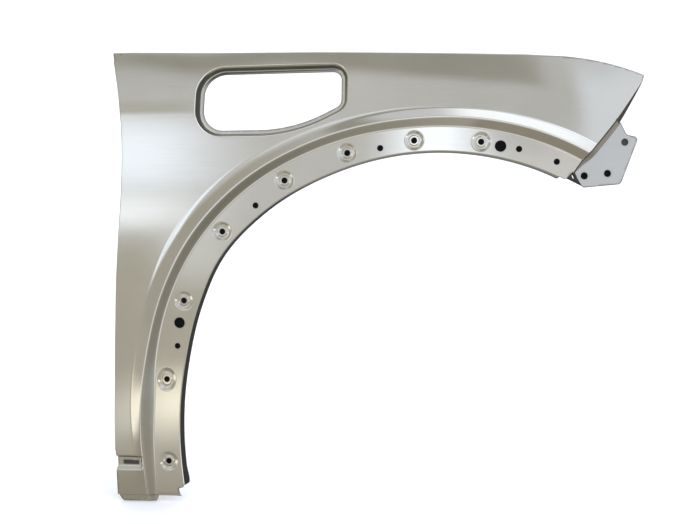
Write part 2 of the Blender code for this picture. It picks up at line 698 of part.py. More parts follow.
def fill_blank(outline, cuts, loops, lines, step):
    """Triangles of the flat blank: its points, and its faces as lists of point numbers."""
    points = []
    edges = []
    for line, closed in [(outline, True)] + [(c, True) for c in cuts + loops] + [(n, False) for n in lines]:
        dense = densify(line, closed, step)
        first = len(points)
        points += dense
        last = len(dense) if closed else len(dense) - 1
        edges += [(first + i, first + (i + 1) % len(dense)) for i in range(last)]
    points += fill_points(np.array(points), outline, cuts, step)
    flat = [Vector((x / MM, z / MM)) for x, z in points]
    result = delaunay_2d_cdt(flat, edges, [], 0, MERGE / MM)
    place = np.array([(v.x * MM, v.y * MM) for v in result[0]])
    faces = np.array([f for f in result[2]])
    middle = place[faces].mean(axis=1)
    side = place[faces[:, 1:]] - place[faces[:, :1]]
    area = np.abs(side[:, 0, 0] * side[:, 1, 1] - side[:, 0, 1] * side[:, 1, 0]) / 2
    keep = inside(middle, outline) & (area > MERGE * MERGE)
    for loop in cuts:
        keep &= ~inside(middle, loop)
    return place, faces[keep]


def drawn_mesh(place, faces, height):
    """Blank drawn to depth, with its faces turned outboard."""
    bm = bmesh.new()
    depth = -height(place[:, 0], place[:, 1])
    verts = [bm.verts.new((x, y, z)) for (x, z), y in zip(place, depth)]
    for face in faces:
        corner = [verts[i] for i in face]
        bm.faces.new(corner)
    bm.normal_update()
    turned = [f for f in bm.faces if f.normal.y > 0]
    bmesh.ops.reverse_faces(bm, faces=turned)
    loose = [v for v in bm.verts if not v.link_faces]
    bmesh.ops.delete(bm, geom=loose, context="VERTS")
    return bm


def border_chain(bm, belongs, order):
    """Border points that belong to one edge of the panel, in order."""
    chain = {v for e in bm.edges if e.is_boundary for v in e.verts if belongs(v.co.x, v.co.z)}
    return sorted(chain, key=lambda v: order(v.co.x, v.co.z))


def section_steps(lean, pieces):
    """Offsets (outwards, inboard) along a section of bends and straights."""
    out = inboard = 0.0
    angle = lean
    steps = []
    for kind, size, target in pieces:
        count = BEND_STEPS if kind == "bend" else 1
        turn = (target - angle) / count if kind == "bend" else 0.0
        for _ in range(count):
            length = abs(turn) * size if kind == "bend" else size
            middle = angle + turn / 2
            out += length * math.cos(middle)
            inboard += length * math.sin(middle)
            angle += turn
            steps.append((out, inboard))
    return steps


def grow(bm, columns):
    """Faces between columns of points that start on the border, turned as the sheet is."""
    for left, right in zip(columns, columns[1:]):
        edge = bm.edges.get((left[0], right[0]))
        if edge is None:
            continue
        forward = edge.link_loops[0].vert == right[0]
        for row in range(len(left) - 1):
            corners = (left[row], right[row], right[row + 1], left[row + 1])
            bm.faces.new(corners if forward else corners[::-1])


def add_flange(bm, chain, outward, pieces):
    """Grow a flange from a chain of border points, each with its own direction and section."""
    columns = []
    for vert in chain:
        nx, nz = outward(vert.co.x, vert.co.z)
        lean = sheet_lean(vert.co.x, vert.co.z, nx, nz)
        column = [vert]
        for out, inboard in section_steps(lean, pieces(vert.co.x, vert.co.z)):
            column.append(bm.verts.new(vert.co + Vector((nx * out, inboard, nz * out))))
        columns.append(column)
    grow(bm, columns)


def depth_at(x, z):
    """Depth of the panel's outer face at one place."""
    return -float(outboard(np.array([x]), np.array([z]))[0])


def sheet_lean(x, z, nx, nz):
    """Angle at which the sheet runs inboard where it meets its border."""
    return math.atan2(depth_at(x, z) - depth_at(x - nx * PROBE, z - nz * PROBE), PROBE)


def normal_of(line_x, line_z, side):
    """Unit vector square to a short stretch of border."""
    length = math.hypot(line_x, line_z)
    return side * line_z / length, -side * line_x / length


def arch_outward(x, z):
    """From the flange towards the arch's middle."""
    angle = float(polar(x, z)[0])
    before = angle - ARCH_PROBE_ANGLE
    after = angle + ARCH_PROBE_ANGLE
    ax, az = at_polar(before, float(arch_radius(before)))
    bx, bz = at_polar(after, float(arch_radius(after)))
    return normal_of(bx - ax, bz - az, 1)


def lip_pieces(x, z):
    """The lip turns square inboard, and stands off a little at the foot."""
    above_foot = max(0.0, z + LIP_END_Z) / LIP_FOOT_LENGTH
    foot = max(0.0, 1 - above_foot)
    depth = LIP_DEPTH * (1 - LIP_FOOT_TRIM_SHARE * foot ** LIP_FOOT_TRIM_POWER)
    target = math.pi / 2 - LIP_FOOT_FLARE * foot ** 2
    return (("bend", LIP_ROUND, target), ("straight", depth - LIP_ROUND, target))


def rear_outward(x, z):
    step = CURVE_STEP
    return normal_of(float(rear_x(z + step) - rear_x(z - step)), 2 * step, -1)


def rear_pieces(x, z):
    return (("bend", RETURN_ROUND, math.pi / 2), ("straight", REAR_RETURN, math.pi / 2))


def top_outward(x, z):
    step = CURVE_STEP
    return normal_of(2 * step, float(top_z(x + step) - top_z(x - step)), -1)


def rail_pieces(x, z):
    """Down behind the top edge by an even drop, then round to level."""
    lean = sheet_lean(x, z, *top_outward(x, z))
    turns = (("bend", RAIL_ROUND, RAIL_DROP_ANGLE), ("bend", RAIL_ROUND, math.pi / 2))
    wall = (section_steps(lean, turns)[-1][0] + RAIL_DROP) / -math.cos(RAIL_DROP_ANGLE)
    return turns[0], ("straight", wall, RAIL_DROP_ANGLE), turns[1]


def front_station(x, z):
    """Way down the front edge, from 0 at the nose to 1 at the lower corner."""
    return (NOSE_Z - z) / (NOSE_Z - FRONT_CORNER_Z)


def front_outward(x, z):
    border = np.array(front_border())
    i = int(np.argmin(np.abs(border[:, 1] - z)))
    a = border[max(i - 1, 0)]
    b = border[min(i + 1, len(border) - 1)]
    return normal_of(b[0] - a[0], b[1] - a[1], 1)


def strip_pieces(x, z):
    """The visible return under the nose, narrow at its tip."""
    width = FRONT_STRIP * min(1.0, max(FRONT_STRIP_TIP_SHARE, front_station(x, z) / FRONT_STRIP_SHARE))
    return (("bend", RETURN_ROUND, FRONT_STRIP_ANGLE), ("straight", width, FRONT_STRIP_ANGLE))


def front_pieces(x, z):
    return (("bend", RETURN_ROUND, math.pi / 2), ("straight", FRONT_RETURN, math.pi / 2))


def add_panel_flanges(bm):
    """Lip, rear return, upper rail flange and front returns."""
    lip_low = -LIP_END_Z

    def on_arch(x, z):
        angle, radius = polar(x, z)
        corner = math.degrees(FRONT_CORNER_ROUND / ARCH_RADIUS) / 2
        last = float(polar(FRONT_CORNER_X, FRONT_CORNER_Z)[0]) - corner
        return abs(radius - arch_radius(angle)) < BORDER_TOLERANCE and z > lip_low - MERGE and angle < last

    def on_rear(x, z):
        clear = JOGGLE_TOP + RETURN_RELIEF < z < TOP_Z - 2 * RETURN_RELIEF
        return clear and abs(x - rear_x(z)) < BORDER_TOLERANCE

    def on_rail(x, z):
        return RAIL_START_X < x < RAIL_END_X and abs(z - top_z(x)) < BORDER_TOLERANCE

    front = np.array(front_border())

    def on_front(x, z):
        edge = np.interp(z, front[:, 1], front[:, 0])
        return abs(x - edge) < BORDER_TOLERANCE and x > FRONT_CORNER_X

    def on_strip(x, z):
        last = FRONT_STRIP_SHARE + FRONT_STRIP_OVERLAP_SHARE
        return on_front(x, z) and FRONT_STRIP_START_SHARE < front_station(x, z) < last

    def on_return(x, z):
        return on_front(x, z) and FRONT_RETURN_START_SHARE < front_station(x, z) < FRONT_RETURN_END_SHARE

    add_flange(bm, border_chain(bm, on_arch, lambda x, z: float(polar(x, z)[0])), arch_outward, lip_pieces)
    add_flange(bm, border_chain(bm, on_rear, lambda x, z: z), rear_outward, rear_pieces)
    rail = border_chain(bm, on_rail, lambda x, z: x)
    rail_stations = [v.co.x for v in rail]
    add_flange(bm, rail, top_outward, rail_pieces)
    add_rail_shelf(bm, rail_stations)
    add_flange(bm, border_chain(bm, on_strip, lambda x, z: z), front_outward, strip_pieces)
    add_flange(bm, border_chain(bm, on_return, lambda x, z: z), front_outward, front_pieces)


def steel(name, colour, roughness):
    """Bare or primed metal."""
    material = bpy.data.materials.new(name)
    material.use_nodes = True
    shader = material.node_tree.nodes["Principled BSDF"]
    shader.inputs["Base Color"].default_value = (*colour, 1)
    shader.inputs["Roughness"].default_value = roughness
    shader.inputs["Metallic"].default_value = SHINE_SHARE
    return material


def add_object(name, bm, material):
    """Turn a bmesh into a named object of the part."""
    mesh = bpy.data.meshes.new(name)
    bm.to_mesh(mesh)
    bm.free()
    mesh.materials.append(material)
    mesh.shade_smooth()
    mesh.set_sharp_from_angle(angle=SHARP_ANGLE)
    item = bpy.data.objects.new(name, mesh)
    bpy.context.collection.objects.link(item)
    item.location = [-c for c in origin()]
    return item


def thicken(item, thickness):
    """Give the sheet its thickness on the inboard side."""
    shell = item.modifiers.new("sheet", "SOLIDIFY")
    shell.thickness = thickness
    shell.offset = -1
    shell.use_even_offset = True
    shell.use_quality_normals = True


def rail_place(x, across):
    """Point of the level rail flange at a station and a way across it."""
    z = float(top_z(x))
    nx, nz = top_outward(x, z)
    out, inboard = section_steps(sheet_lean(x, z, nx, nz), rail_pieces(x, z))[-1]
    return x + nx * out, depth_at(x, z) + inboard + across, z + nz * out


def rail_station(share):
    return RAIL_START_X + share * (RAIL_END_X - RAIL_START_X)


def rail_outline(stations):
    """Border of the level flange: wide round each bolt hole and narrow between."""
    low, high = stations[0], stations[-1]
    edge = []
    for share in RAIL_HOLE_SHARES:
        for side in (-1, 1):
            tab = rail_station(share) + side * RAIL_TAB_WIDTH / 2
            slant = tab + side * RAIL_TAB_SLANT
            edge += [(slant, RAIL_NARROW), (tab, RAIL_WIDTH)][::-side]
    edge = [(low, RAIL_NARROW)] + [p for p in edge if low < p[0] < high] + [(high, RAIL_NARROW)]
    return [(x, 0.0) for x in stations] + edge[::-1]


def add_rail_shelf(bm, stations):
    """Level flange with its bolt holes, joined to the bend before it."""
    holes = [circle(rail_station(s), RAIL_WIDTH / 2, RAIL_HOLE_RADIUS, CLIP_SIDES) for s in RAIL_HOLE_SHARES]
    place, faces = fill_blank(rail_outline(stations), holes, [], [], FILL_STEP)
    verts = [bm.verts.new(rail_place(x, across)) for x, across in place]
    for face in faces:
        made = bm.faces.new([verts[i] for i in face])
        made.normal_update()
        if made.normal.z < 0:
            made.normal_flip()
    bmesh.ops.delete(bm, geom=[v for v in verts if not v.link_faces], context="VERTS")
    bmesh.ops.remove_doubles(bm, verts=bm.verts, dist=MERGE)


def origin():
    """Middle of the rail flange, between its bolt holes."""
    return rail_place(rail_station(RAIL_MIDDLE_SHARE), RAIL_NARROW / 2)


def cutter(name, bm):
    """Hidden object that only cuts."""
    mesh = bpy.data.meshes.new(name)
    bm.to_mesh(mesh)
    bm.free()
    item = bpy.data.objects.new(name, mesh)
    bpy.context.collection.objects.link(item)
    item.hide_render = True
    item.display_type = "WIRE"
    item.location = [-c for c in origin()]
    return item


def cut(item, tool):
    """Exact cut by a hidden object."""
    boolean = item.modifiers.new(tool.name, "BOOLEAN")
    boolean.operation = "DIFFERENCE"
    boolean.solver = "EXACT"
    boolean.object = tool


def build_panel():
    """The outer panel."""
    cuts = cut_loops()
    place, faces = fill_blank(panel_outline(), cuts, seat_rings() + vent_rings(), arch_lines() + body_lines(),
                              FILL_STEP)
    bm = drawn_mesh(place, faces, outboard)
    add_panel_flanges(bm)
    panel = add_object("fender_panel", bm, steel("fender_steel", (0.46, 0.45, 0.40), 0.34))
    thicken(panel, SHEET)


def plate_depth(x):
    """Depth of the bracket plate's outer face."""
    return PLATE_Y + PLATE_TURN_IN_SHARE * (x - PLATE_X)


def plate_point(shares):
    """Point of the plate from its shares of length and height."""
    return FRONT_CORNER_X + shares[0] * PLATE_LENGTH, FRONT_CORNER_Z + shares[1] * PLATE_HEIGHT


def seam_point(station, offset):
    """Point beside the panel's front edge at a share of the way down."""
    border = np.array(front_border())
    z = NOSE_Z - station * (NOSE_Z - FRONT_CORNER_Z)
    x = float(np.interp(z, border[:, 1], border[:, 0]))
    nx, nz = front_outward(x, z)
    return x + nx * offset, z + nz * offset


def seam_stations():
    return along(SEAM_START_SHARE, SEAM_END_SHARE, SEAM_STEPS)


def strip_width(station):
    """Width of the bracket's sloping strip, narrower at its lower end."""
    low = fade(station, SEAM_TAPER_SHARE, SEAM_END_SHARE)
    return STRIP_WIDTH * float(1 + (STRIP_END_SHARE - 1) * low)


def seam_offset():
    """From the panel's border to the outer face of the bracket's weld flange."""
    return RETURN_ROUND + SEAM_GAP + BRACKET_SHEET


def plate_seam():
    """Edge of the plate that runs beside the panel."""
    return [seam_point(s, seam_offset() + strip_width(s)) for s in seam_stations()]


def plate_outline():
    """Border of the bracket's plate."""
    seam = plate_seam()
    corners = ((seam[-1], 0),
               (plate_point(PLATE_HEEL_SHARES), PLATE_HEEL_ROUND),
               (plate_point(PLATE_LOW_SHARES), PLATE_LOW_ROUND),
               (plate_point(PLATE_FRONT_SHARES), PLATE_FRONT_ROUND),
               (plate_point(PLATE_STEP_SHARES), PLATE_STEP_ROUND),
               (seam[0], 0))
    return rounded(corners, closed=False)[:-1] + seam[:-1]


def vert_at(bm, x, z):
    """Point of the sheet nearest to a place."""
    return min(bm.verts, key=lambda v: math.hypot(v.co.x - x, v.co.z - z))


def add_weld_flange(bm):
    """The strip that slopes out from the plate to the flange welded on the panel's front return."""
    columns = []
    for station, (x, z) in zip(seam_stations(), plate_seam()):
        vert = vert_at(bm, x, z)
        edge_depth = depth_at(*seam_point(station, 0.0))
        wx, wz = seam_point(station, seam_offset())
        slope_depth = edge_depth + STRIP_RISE_SHARE * (vert.co.y - edge_depth)
        column = [vert, bm.verts.new((wx, slope_depth, wz))]
        column.append(bm.verts.new((wx, edge_depth + WELD_SET_BACK, wz)))
        columns.append(column)
    grow(bm, columns)


def wall_ends():
    """Ends of the side wall's lower edge on the plate, and of its top behind the panel's corner."""
    heel = np.array(plate_outline()[1])
    seam = np.array(plate_seam()[-1])
    corner = np.array((FRONT_CORNER_X, FRONT_CORNER_Z))
    inward = np.array((0.0, 1.0))
    top_low = corner + inward * WALL_TOP_INSET
    return heel, seam, top_low, top_low + inward * WALL_TOP_WIDTH


def add_side_wall(bm):
    """The wall that closes the bracket's rear end and ends just behind the panel's flange."""
    heel, seam, top_low, top_high = wall_ends()
    reach = np.hypot(*(seam - heel))
    way = (seam - heel) / reach

    def station(x, z):
        return float(((x, z) - heel) @ way) / reach

    def on_foot(x, z):
        t = station(x, z)
        off = np.hypot(*((x, z) - heel - way * t * reach))
        return off < MERGE and -MERGE < t * reach < reach + MERGE

    columns = []
    for vert in border_chain(bm, on_foot, station):
        top = top_low + (top_high - top_low) * station(vert.co.x, vert.co.z)
        top_depth = depth_at(*top) + SHEET + 2 * SEAM_GAP
        way_up = Vector((top[0], top_depth, top[1])) - vert.co
        columns.append([vert] + [bm.verts.new(vert.co + way_up * t) for t in along(0, 1, WALL_STEPS)[1:]])
    grow(bm, columns)


def build_bracket():
    """The bumper and lamp bracket."""
    holes = [circle(*plate_point(s), PLATE_HOLE_RADIUS, PLATE_HOLE_SIDES) for s in PLATE_HOLE_SHARES]
    place, faces = fill_blank(plate_outline(), holes, [], [], PLATE_FILL)
    bm = drawn_mesh(place, faces, lambda x, z: -plate_depth(x))
    add_weld_flange(bm)
    add_side_wall(bm)
    bracket = add_object("front_bracket", bm, steel("bracket_steel", (0.40, 0.40, 0.38), 0.42))
    thicken(bracket, BRACKET_SHEET)
    cut(bracket, wall_slot())


def wall_slot():
    """Small slot through the side wall."""
    heel, seam, top_low, top_high = wall_ends()
    low = (heel + seam) / 2
    high = (top_low + top_high) / 2
    x, z = low + (high - low) * WALL_SLOT_SHARE
    depth = plate_depth(low[0]) * (1 - WALL_SLOT_SHARE) + depth_at(*high) * WALL_SLOT_SHARE
    bm = bmesh.new()
    bmesh.ops.create_cube(bm, size=1)
    bmesh.ops.scale(bm, vec=(WALL_SLOT_LENGTH, 2 * CUT_OVERRUN, WALL_SLOT_HEIGHT), verts=bm.verts)
    bmesh.ops.rotate(bm, matrix=Matrix.Rotation(WALL_SLOT_TURN, 3, "Y"), verts=bm.verts)
    bmesh.ops.translate(bm, vec=(x, depth, z), verts=bm.verts)
    return cutter("wall_slot_cutter", bm)


def main():
    for item in list(bpy.data.objects):
        bpy.data.objects.remove(item, do_unlink=True)
    build_panel()
    build_bracket()


main()
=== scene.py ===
"""Right front fender of stamped steel on a pale studio sweep.

Lengths below are millimetres round the centre of the wheel arch: +X forward, -Y outboard, +Z up. The
finished pieces are set down in the row frame, whose origin is on the hidden upper flange.
"""
from math import acos, asin, atan, atan2, ceil, cos, degrees, dist, hypot, pi, radians, sin, tan

import bpy
import numpy as np
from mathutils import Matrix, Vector
from mathutils.geometry import delaunay_2d_cdt
from mathutils.kdtree import KDTree


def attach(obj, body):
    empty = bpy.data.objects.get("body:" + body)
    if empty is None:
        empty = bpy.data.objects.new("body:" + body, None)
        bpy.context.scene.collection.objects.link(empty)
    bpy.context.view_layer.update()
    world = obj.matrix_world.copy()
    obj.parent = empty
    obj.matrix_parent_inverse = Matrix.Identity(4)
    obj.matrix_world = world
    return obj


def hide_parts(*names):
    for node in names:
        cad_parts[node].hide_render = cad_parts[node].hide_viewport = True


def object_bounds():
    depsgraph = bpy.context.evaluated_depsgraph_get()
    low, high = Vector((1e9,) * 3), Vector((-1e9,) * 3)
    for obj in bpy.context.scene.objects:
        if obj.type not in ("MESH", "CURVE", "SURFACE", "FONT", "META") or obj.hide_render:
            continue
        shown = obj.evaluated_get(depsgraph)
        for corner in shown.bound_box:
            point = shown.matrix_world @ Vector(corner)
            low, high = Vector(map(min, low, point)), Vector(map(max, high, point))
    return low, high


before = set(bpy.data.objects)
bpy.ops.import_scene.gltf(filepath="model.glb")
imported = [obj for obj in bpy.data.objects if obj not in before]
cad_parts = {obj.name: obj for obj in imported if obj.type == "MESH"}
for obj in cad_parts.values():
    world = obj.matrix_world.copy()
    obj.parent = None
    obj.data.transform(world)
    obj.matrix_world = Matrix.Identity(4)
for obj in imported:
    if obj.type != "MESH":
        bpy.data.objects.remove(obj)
cad_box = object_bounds()

MM = 0.001
DEG = pi / 180
ROW_ORIGIN = np.array((-242.664, 32.592, 556.557))

SHEET = 0.8
BRACKET_SHEET = 1.4
SEAM_GAP = 0.3

# Outline
ARCH_RADIUS = 405.0
REAR_X = 530.0
TOP_Z = 574.0
TOP_FALL = 21.0
FRONT_CORNER_X = 207.0
FRONT_CORNER_Z = 356.5
FRONT_CORNER_ROUND = 7.0
NOSE_X = 336.5
NOSE_Z = 524.5
NOSE_START_X = 185.0
NOSE_ROUND = 3.0
REAR_WAIST = 26.5
TOP_CORNER_ROUND = 2.0
REAR_SHARES = ((0.0, 0.15), (0.10, 0.14), (0.265, 0.27), (0.40, 0.40), (0.48, 0.49), (0.586, 0.69),
               (0.692, 0.92), (0.78, 1.0), (0.835, 0.955), (0.89, 0.77), (0.946, 0.43), (1.0, 0.0))
FRONT_SHARES = ((0.0, 0.0), (0.195, 0.222), (0.392, 0.437), (0.641, 0.675), (0.735, 0.753), (0.81, 0.82),
                (0.905, 0.925))

# Lower end
FOLD_Z = 165.5
FOLD_RUN = 1.6
TAB_STEP = 4.5
TAB_DROP = 12.0
TAB_INSET = 7.0
TAB_WIDTH = 58.0
TAB_ROUND = 7.0
STRIP_DROP = 2.6
FOOT_X = 417.6
FOOT_CORNER_ROUND = 1.2
NOTCH_X = 421.6
NOTCH_Z = 152.5
NOTCH_ROUND = 2.4
LIP_END_Z = 148.0

# Arch bands: full width or rise, and its shares by angle from the rear foot over the top to the front
FLANGE_WIDTH = 44.0
BAND_ANGLES = (-26, -16, -8, 0, 8, 22, 34, 48, 66, 85, 103, 118, 132)
BANDS = {
    "arch": (ARCH_RADIUS, (1.110, 1.068, 1.043, 1.0257, 1.0155, 1.0193, 1.0311, 1.0188, 1.0, 0.9978, 1.0054,
                           1.0193, 1.034)),
    "flange": (FLANGE_WIDTH, (1.34, 1.07, 1.0, 0.98, 1.09, 1.10, 0.99, 1.01, 0.98, 0.865, 0.87, 0.873, 0.875)),
    "step": (13.0, (0.75, 1.3, 1.54, 1.5, 1.06, 0.93, 1.0, 1.0, 0.92, 0.92, 1.04, 1.11, 1.12)),
    "flare": (18.0, (0.9, 0.9, 0.9, 1.03, 1.14, 1.28, 1.22, 1.1, 0.97, 0.97, 0.9, 0.97, 1.0)),
    "skin rise": (6.0, (0.3, 0.7, 0.95, 1.0, 1.0, 1.0, 1.0, 1.0, 1.0, 1.0, 1.0, 1.0, 1.0)),
    "flare rise": (8.0, (0.0, 0.02, 0.3, 0.95, 1.0, 0.85, 0.78, 0.78, 0.85, 1.0, 1.0, 1.0, 1.0)),
    "flare soft": (5.0, (0.5, 0.5, 0.5, 0.5, 0.6, 1.3, 1.6, 1.6, 1.4, 0.9, 0.5, 0.45, 0.45)),
    # step painted shade: how dark the shade painted on the step wall is
    "step painted shade": (1.0, (0.38, 0.38, 0.36, 0.39, 0.44, 0.49, 0.55, 0.60, 0.46, 0.30, 0.06, 0.12, 0.14)),
}
BEND_ROUND = 1.8
FOOT_ANGLE = -24
FRONT_ANGLE = 126

# Body side
CREASE_Z = 470.0
CREASE_FALL_SHARE = 0.158
CREASE_FRONT_SHARE = 0.07
CREASE_ROUND = 3.0
CREASE_FRONT_ROUND = 26.0
CREASE_FADE_LENGTH = 240.0
UPPER_CROWN = 400.0
LOWER_CROWN = 9000.0
PLAN_START = -150.0
PLAN_CROWN = 6000.0
NOSE_CURVE_START = 150.0
NOSE_CROWN = 700.0
CROWN_BLEND = 20.0

# Side vent
VENT_LEFT = -371.0
VENT_RIGHT = -146.0
VENT_TOP = 533.5
VENT_BOTTOM = 440.7
VENT_RIGHT_LOW = 479.5
VENT_KNEE_X = -223.0
VENT_CORNER_ROUNDS = (36.0, 31.0, 250.0, 14.0, 14.0)
VENT_DEPTH = 14.0
VENT_FLANGE = 6.5
VENT_DRAFT = 4.6
VENT_ROUND = 1.6

# Joggle and slot
JOGGLE_TOP = -98.0
JOGGLE_LOW = -122.0
JOGGLE_DEPTH = 4.0
JOGGLE_WALL = 3.0
JOGGLE_LOWER_WALL = 6.0
JOGGLE_END_X = -480.0
JOGGLE_END_RUN = 6.0
JOGGLE_ROUND = 1.2
SLOT_LEFT = -514.0
SLOT_RIGHT = -489.0
SLOT_Z = -109.8
SLOT_HEIGHT = 5.6
SLOT_ROUND = 1.2

# Holes and seats of the arch flange
CLIP_RADIUS = 4.7
LOCATOR_RADIUS = 8.8
SEAT_RADIUS = 15.5
SEAT_FLOOR = 11.2
SEAT_PAD = 9.2
SEAT_PAD_TOP = 7.4
SEAT_DEPTH = 1.7
SEAT_PAD_RISE = 0.8
SEAT_SHARES = ((-13.7, 0.46, 1.0), (4.2, 0.56, 1.25), (21.9, 0.51, 1.0), (39.1, 0.50, 1.0),
               (56.5, 0.48, 1.0), (71.3, 0.47, 1.0), (86.0, 0.45, 1.0), (100.3, 0.46, 1.0))
CLIP_SHARES = ((11.9, 0.33), (48.2, 0.33), (78.5, 0.33), (108.4, 0.48), (116.7, 0.50))
LOCATOR_SHARES = ((17.0, 0.43), (104.5, 0.42))

# Lip and returns
LIP_DEPTH = 24.0
LIP_ROUND = 2.0
LIP_FOOT_FLARE = 14 * DEG
LIP_FOOT_LENGTH = 30.0
REAR_RETURN = 9.0
RETURN_ROUND = 1.6
RETURN_RELIEF = 7.0
FRONT_STRIP = 15.0
FRONT_STRIP_ANGLE = 58 * DEG
FRONT_STRIP_SHARE = 0.4
FRONT_RETURN = 14.0
FRONT_RETURN_END_SHARE = 0.935

# Hidden upper flange
RAIL_DROP = 9.0
RAIL_DROP_ANGLE = 158 * DEG
RAIL_ROUND = 2.3
RAIL_WIDTH = 24.0
RAIL_NARROW = 15.0
RAIL_TAB_WIDTH = 46.0
RAIL_TAB_SLANT = 12.0
RAIL_START_X = -516.0
RAIL_END_X = 168.0
RAIL_HOLE_RADIUS = 4.5
RAIL_HOLE_SHARES = (0.07, 0.29, 0.5, 0.73, 0.94)

# Front bracket
PLATE_X = 240.0
PLATE_Y = 33.0
PLATE_TURN_IN_SHARE = 0.22
PLATE_LENGTH = 120.0
PLATE_HEIGHT = 92.0
PLATE_CORNERS = (((0.2625, -0.116), 4.0), ((0.779, -0.049), 8.0), ((1.02, 0.772), 6.0),
                 ((0.854, 0.815), 8.0))
PLATE_HOLE_SHARES = ((0.8275, 0.6815), (0.595, 0.135), (0.279, 0.089))
PLATE_HOLE_RADIUS = 5.5
SEAM_START_SHARE = 0.402
SEAM_END_SHARE = 0.915
SEAM_STEPS = 36
SEAM_TAPER_SHARE = 0.72
STRIP_WIDTH = 9.0
STRIP_END_SHARE = 0.25
STRIP_RISE_SHARE = 0.6
WELD_SET_BACK = 3.0
WALL_TOP_INSET = 4.0
WALL_TOP_WIDTH = 21.0
WALL_SLOT_LENGTH = 6.0
WALL_SLOT_HEIGHT = 1.8
FOLD_ROUND = 1.6
SEAM_OFFSET = RETURN_ROUND + SEAM_GAP + BRACKET_SHEET
FOLD_SPAN = 3.0
WALL_SPAN = 24.0

# Painted light on the steel: how dark the painted shade on walls and returns is, and half widths of the
# painted highlights along the bends
LIP_PAINTED_SHADE = 0.62
LIP_LEG_PAINTED_SHADE = 0.36
RETURN_PAINTED_SHADE = 0.6
STRIP_PAINTED_SHADE = 0.75
WALL_PAINTED_SHADE = 0.97
VENT_WALL_PAINTED_SHADE = 0.25
VENT_UPPER_LEFT_PAINTED_SHADE = 0.55
FOLD_PAINTED_SHADE = 0.6
GROOVE_PAINTED_SHADE = 0.5
BEND_HIGHLIGHT = 1.3
FLARE_HIGHLIGHT = 1.5
VENT_RIM_HIGHLIGHT_SHARE = 0.6

# Fineness of the mesh
FILL_STEP = 5.0
LINE_STEP = 3.2
CORNER_STEP = 7 * DEG
BEND_STEPS = 6
BORDER_TOLERANCE = 0.05
SHADE_CARD_GAP = 0.35
SHADE_CARD_EDGE = 1.2
PROBE = 0.05
MERGE = 0.01
RIM_STEPS = 4
HOLE_SIDES = 28
HOLE_STEP = 1.6
HOLE_RIM_PAINTED_SHADE = 0.5

# Floor, and camera as the photograph was taken, in metres; the lens in millimetres
SWEEP_SIDES = (-5.0, 5.5)
SWEEP_FRONT = -4.0
SWEEP_BACK = 1.4
SWEEP_RADIUS = 1.2
SWEEP_HEIGHT = 4.5
SWEEP_GAP = 0.0005
CAMERA_PLACE = (0.22936, -1.27649, -0.29406)
CAMERA_FORWARD = (-0.09426, 0.99515, -0.02802)
LENS = 40.18
SENSOR = 36.0


def ramp(distance, rounding):
    """Nothing before the start, an even rise after it, and a parabola between them."""
    d = np.asarray(distance, dtype=float)
    curve = (d + rounding) ** 2 / (4 * rounding)
    return np.where(d <= -rounding, 0.0, np.where(d >= rounding, d, curve))


def rise(distance, width, height, rounding, end_rounding=None):
    """A straight wall of one height over one width, rounded where it starts and where it ends."""
    end = rounding if end_rounding is None else end_rounding
    climb = ramp(distance, rounding) - ramp(distance - width, end)
    return height * climb / width


def fade(value, start, end):
    """From 0 at the start to 1 at the end, level at both."""
    t = np.clip((np.asarray(value, dtype=float) - start) / (end - start), 0.0, 1.0)
    return t * t * (3 - 2 * t)


def follow(stations, shares, station):
    """A smooth curve through a table of shares."""
    at = np.asarray(stations, dtype=float)
    value = np.asarray(shares, dtype=float)
    slope = np.gradient(value, at)
    s = np.clip(np.asarray(station, dtype=float), at[0], at[-1])
    i = np.clip(np.searchsorted(at, s, side="right") - 1, 0, len(at) - 2)
    gap = at[i + 1] - at[i]
    t = (s - at[i]) / gap
    start = (1 + 2 * t) * (1 - t) ** 2 * value[i] + t * (1 - t) ** 2 * gap * slope[i]
    end = t * t * (3 - 2 * t) * value[i + 1] - t * t * (1 - t) * gap * slope[i + 1]
    return start + end


def band(name, angle):
    full, shares = BANDS[name]
    return full * follow(BAND_ANGLES, shares, angle)


def polar(x, z):
    """Angle in degrees from straight back, and distance, round the arch centre."""
    return np.degrees(np.arctan2(z, -np.asarray(x))), np.hypot(x, z)


def at_polar(angle, radius):
    return -radius * np.cos(np.radians(angle)), radius * np.sin(np.radians(angle))


def arch_point(angle):
    return at_polar(angle, band("arch", angle))


def arch_angle(x, z):
    return polar(x, z)[0]


def top_z(x):
    line = TOP_Z - TOP_FALL * (x + REAR_X) / (NOSE_START_X + REAR_X)
    end = TOP_Z - TOP_FALL * (NOSE_X + REAR_X) / (NOSE_START_X + REAR_X)
    past = np.maximum(x - NOSE_START_X, 0.0) / (NOSE_X - NOSE_START_X)
    return line - (end - NOSE_Z) * past ** 2


def rear_x(z):
    height = (np.asarray(z) + FOLD_Z) / (TOP_Z + FOLD_Z)
    stations, shares = zip(*REAR_SHARES)
    return -REAR_X + REAR_WAIST * follow(stations, shares, height)


def body_height(x, z):
    """How far the body side stands outboard, before the arch bands, the vent and the joggle."""
    plan = ramp(x - PLAN_START, CROWN_BLEND) ** 2 / (2 * PLAN_CROWN)
    nose = ramp(x - NOSE_CURVE_START, CROWN_BLEND) ** 2 / (2 * NOSE_CROWN)
    lower = ramp(CREASE_Z - z, CROWN_BLEND) ** 2 / (2 * LOWER_CROWN)
    above = ramp(z - CREASE_Z, CROWN_BLEND) ** 2 / (2 * UPPER_CROWN)
    front = fade(x, VENT_RIGHT - CREASE_FADE_LENGTH, VENT_RIGHT)
    fall = CREASE_FALL_SHARE + (CREASE_FRONT_SHARE - CREASE_FALL_SHARE) * front
    rounding = CREASE_ROUND + (CREASE_FRONT_ROUND - CREASE_ROUND) * front
    return -(plan + nose + lower + above + fall * ramp(z - CREASE_Z, rounding))


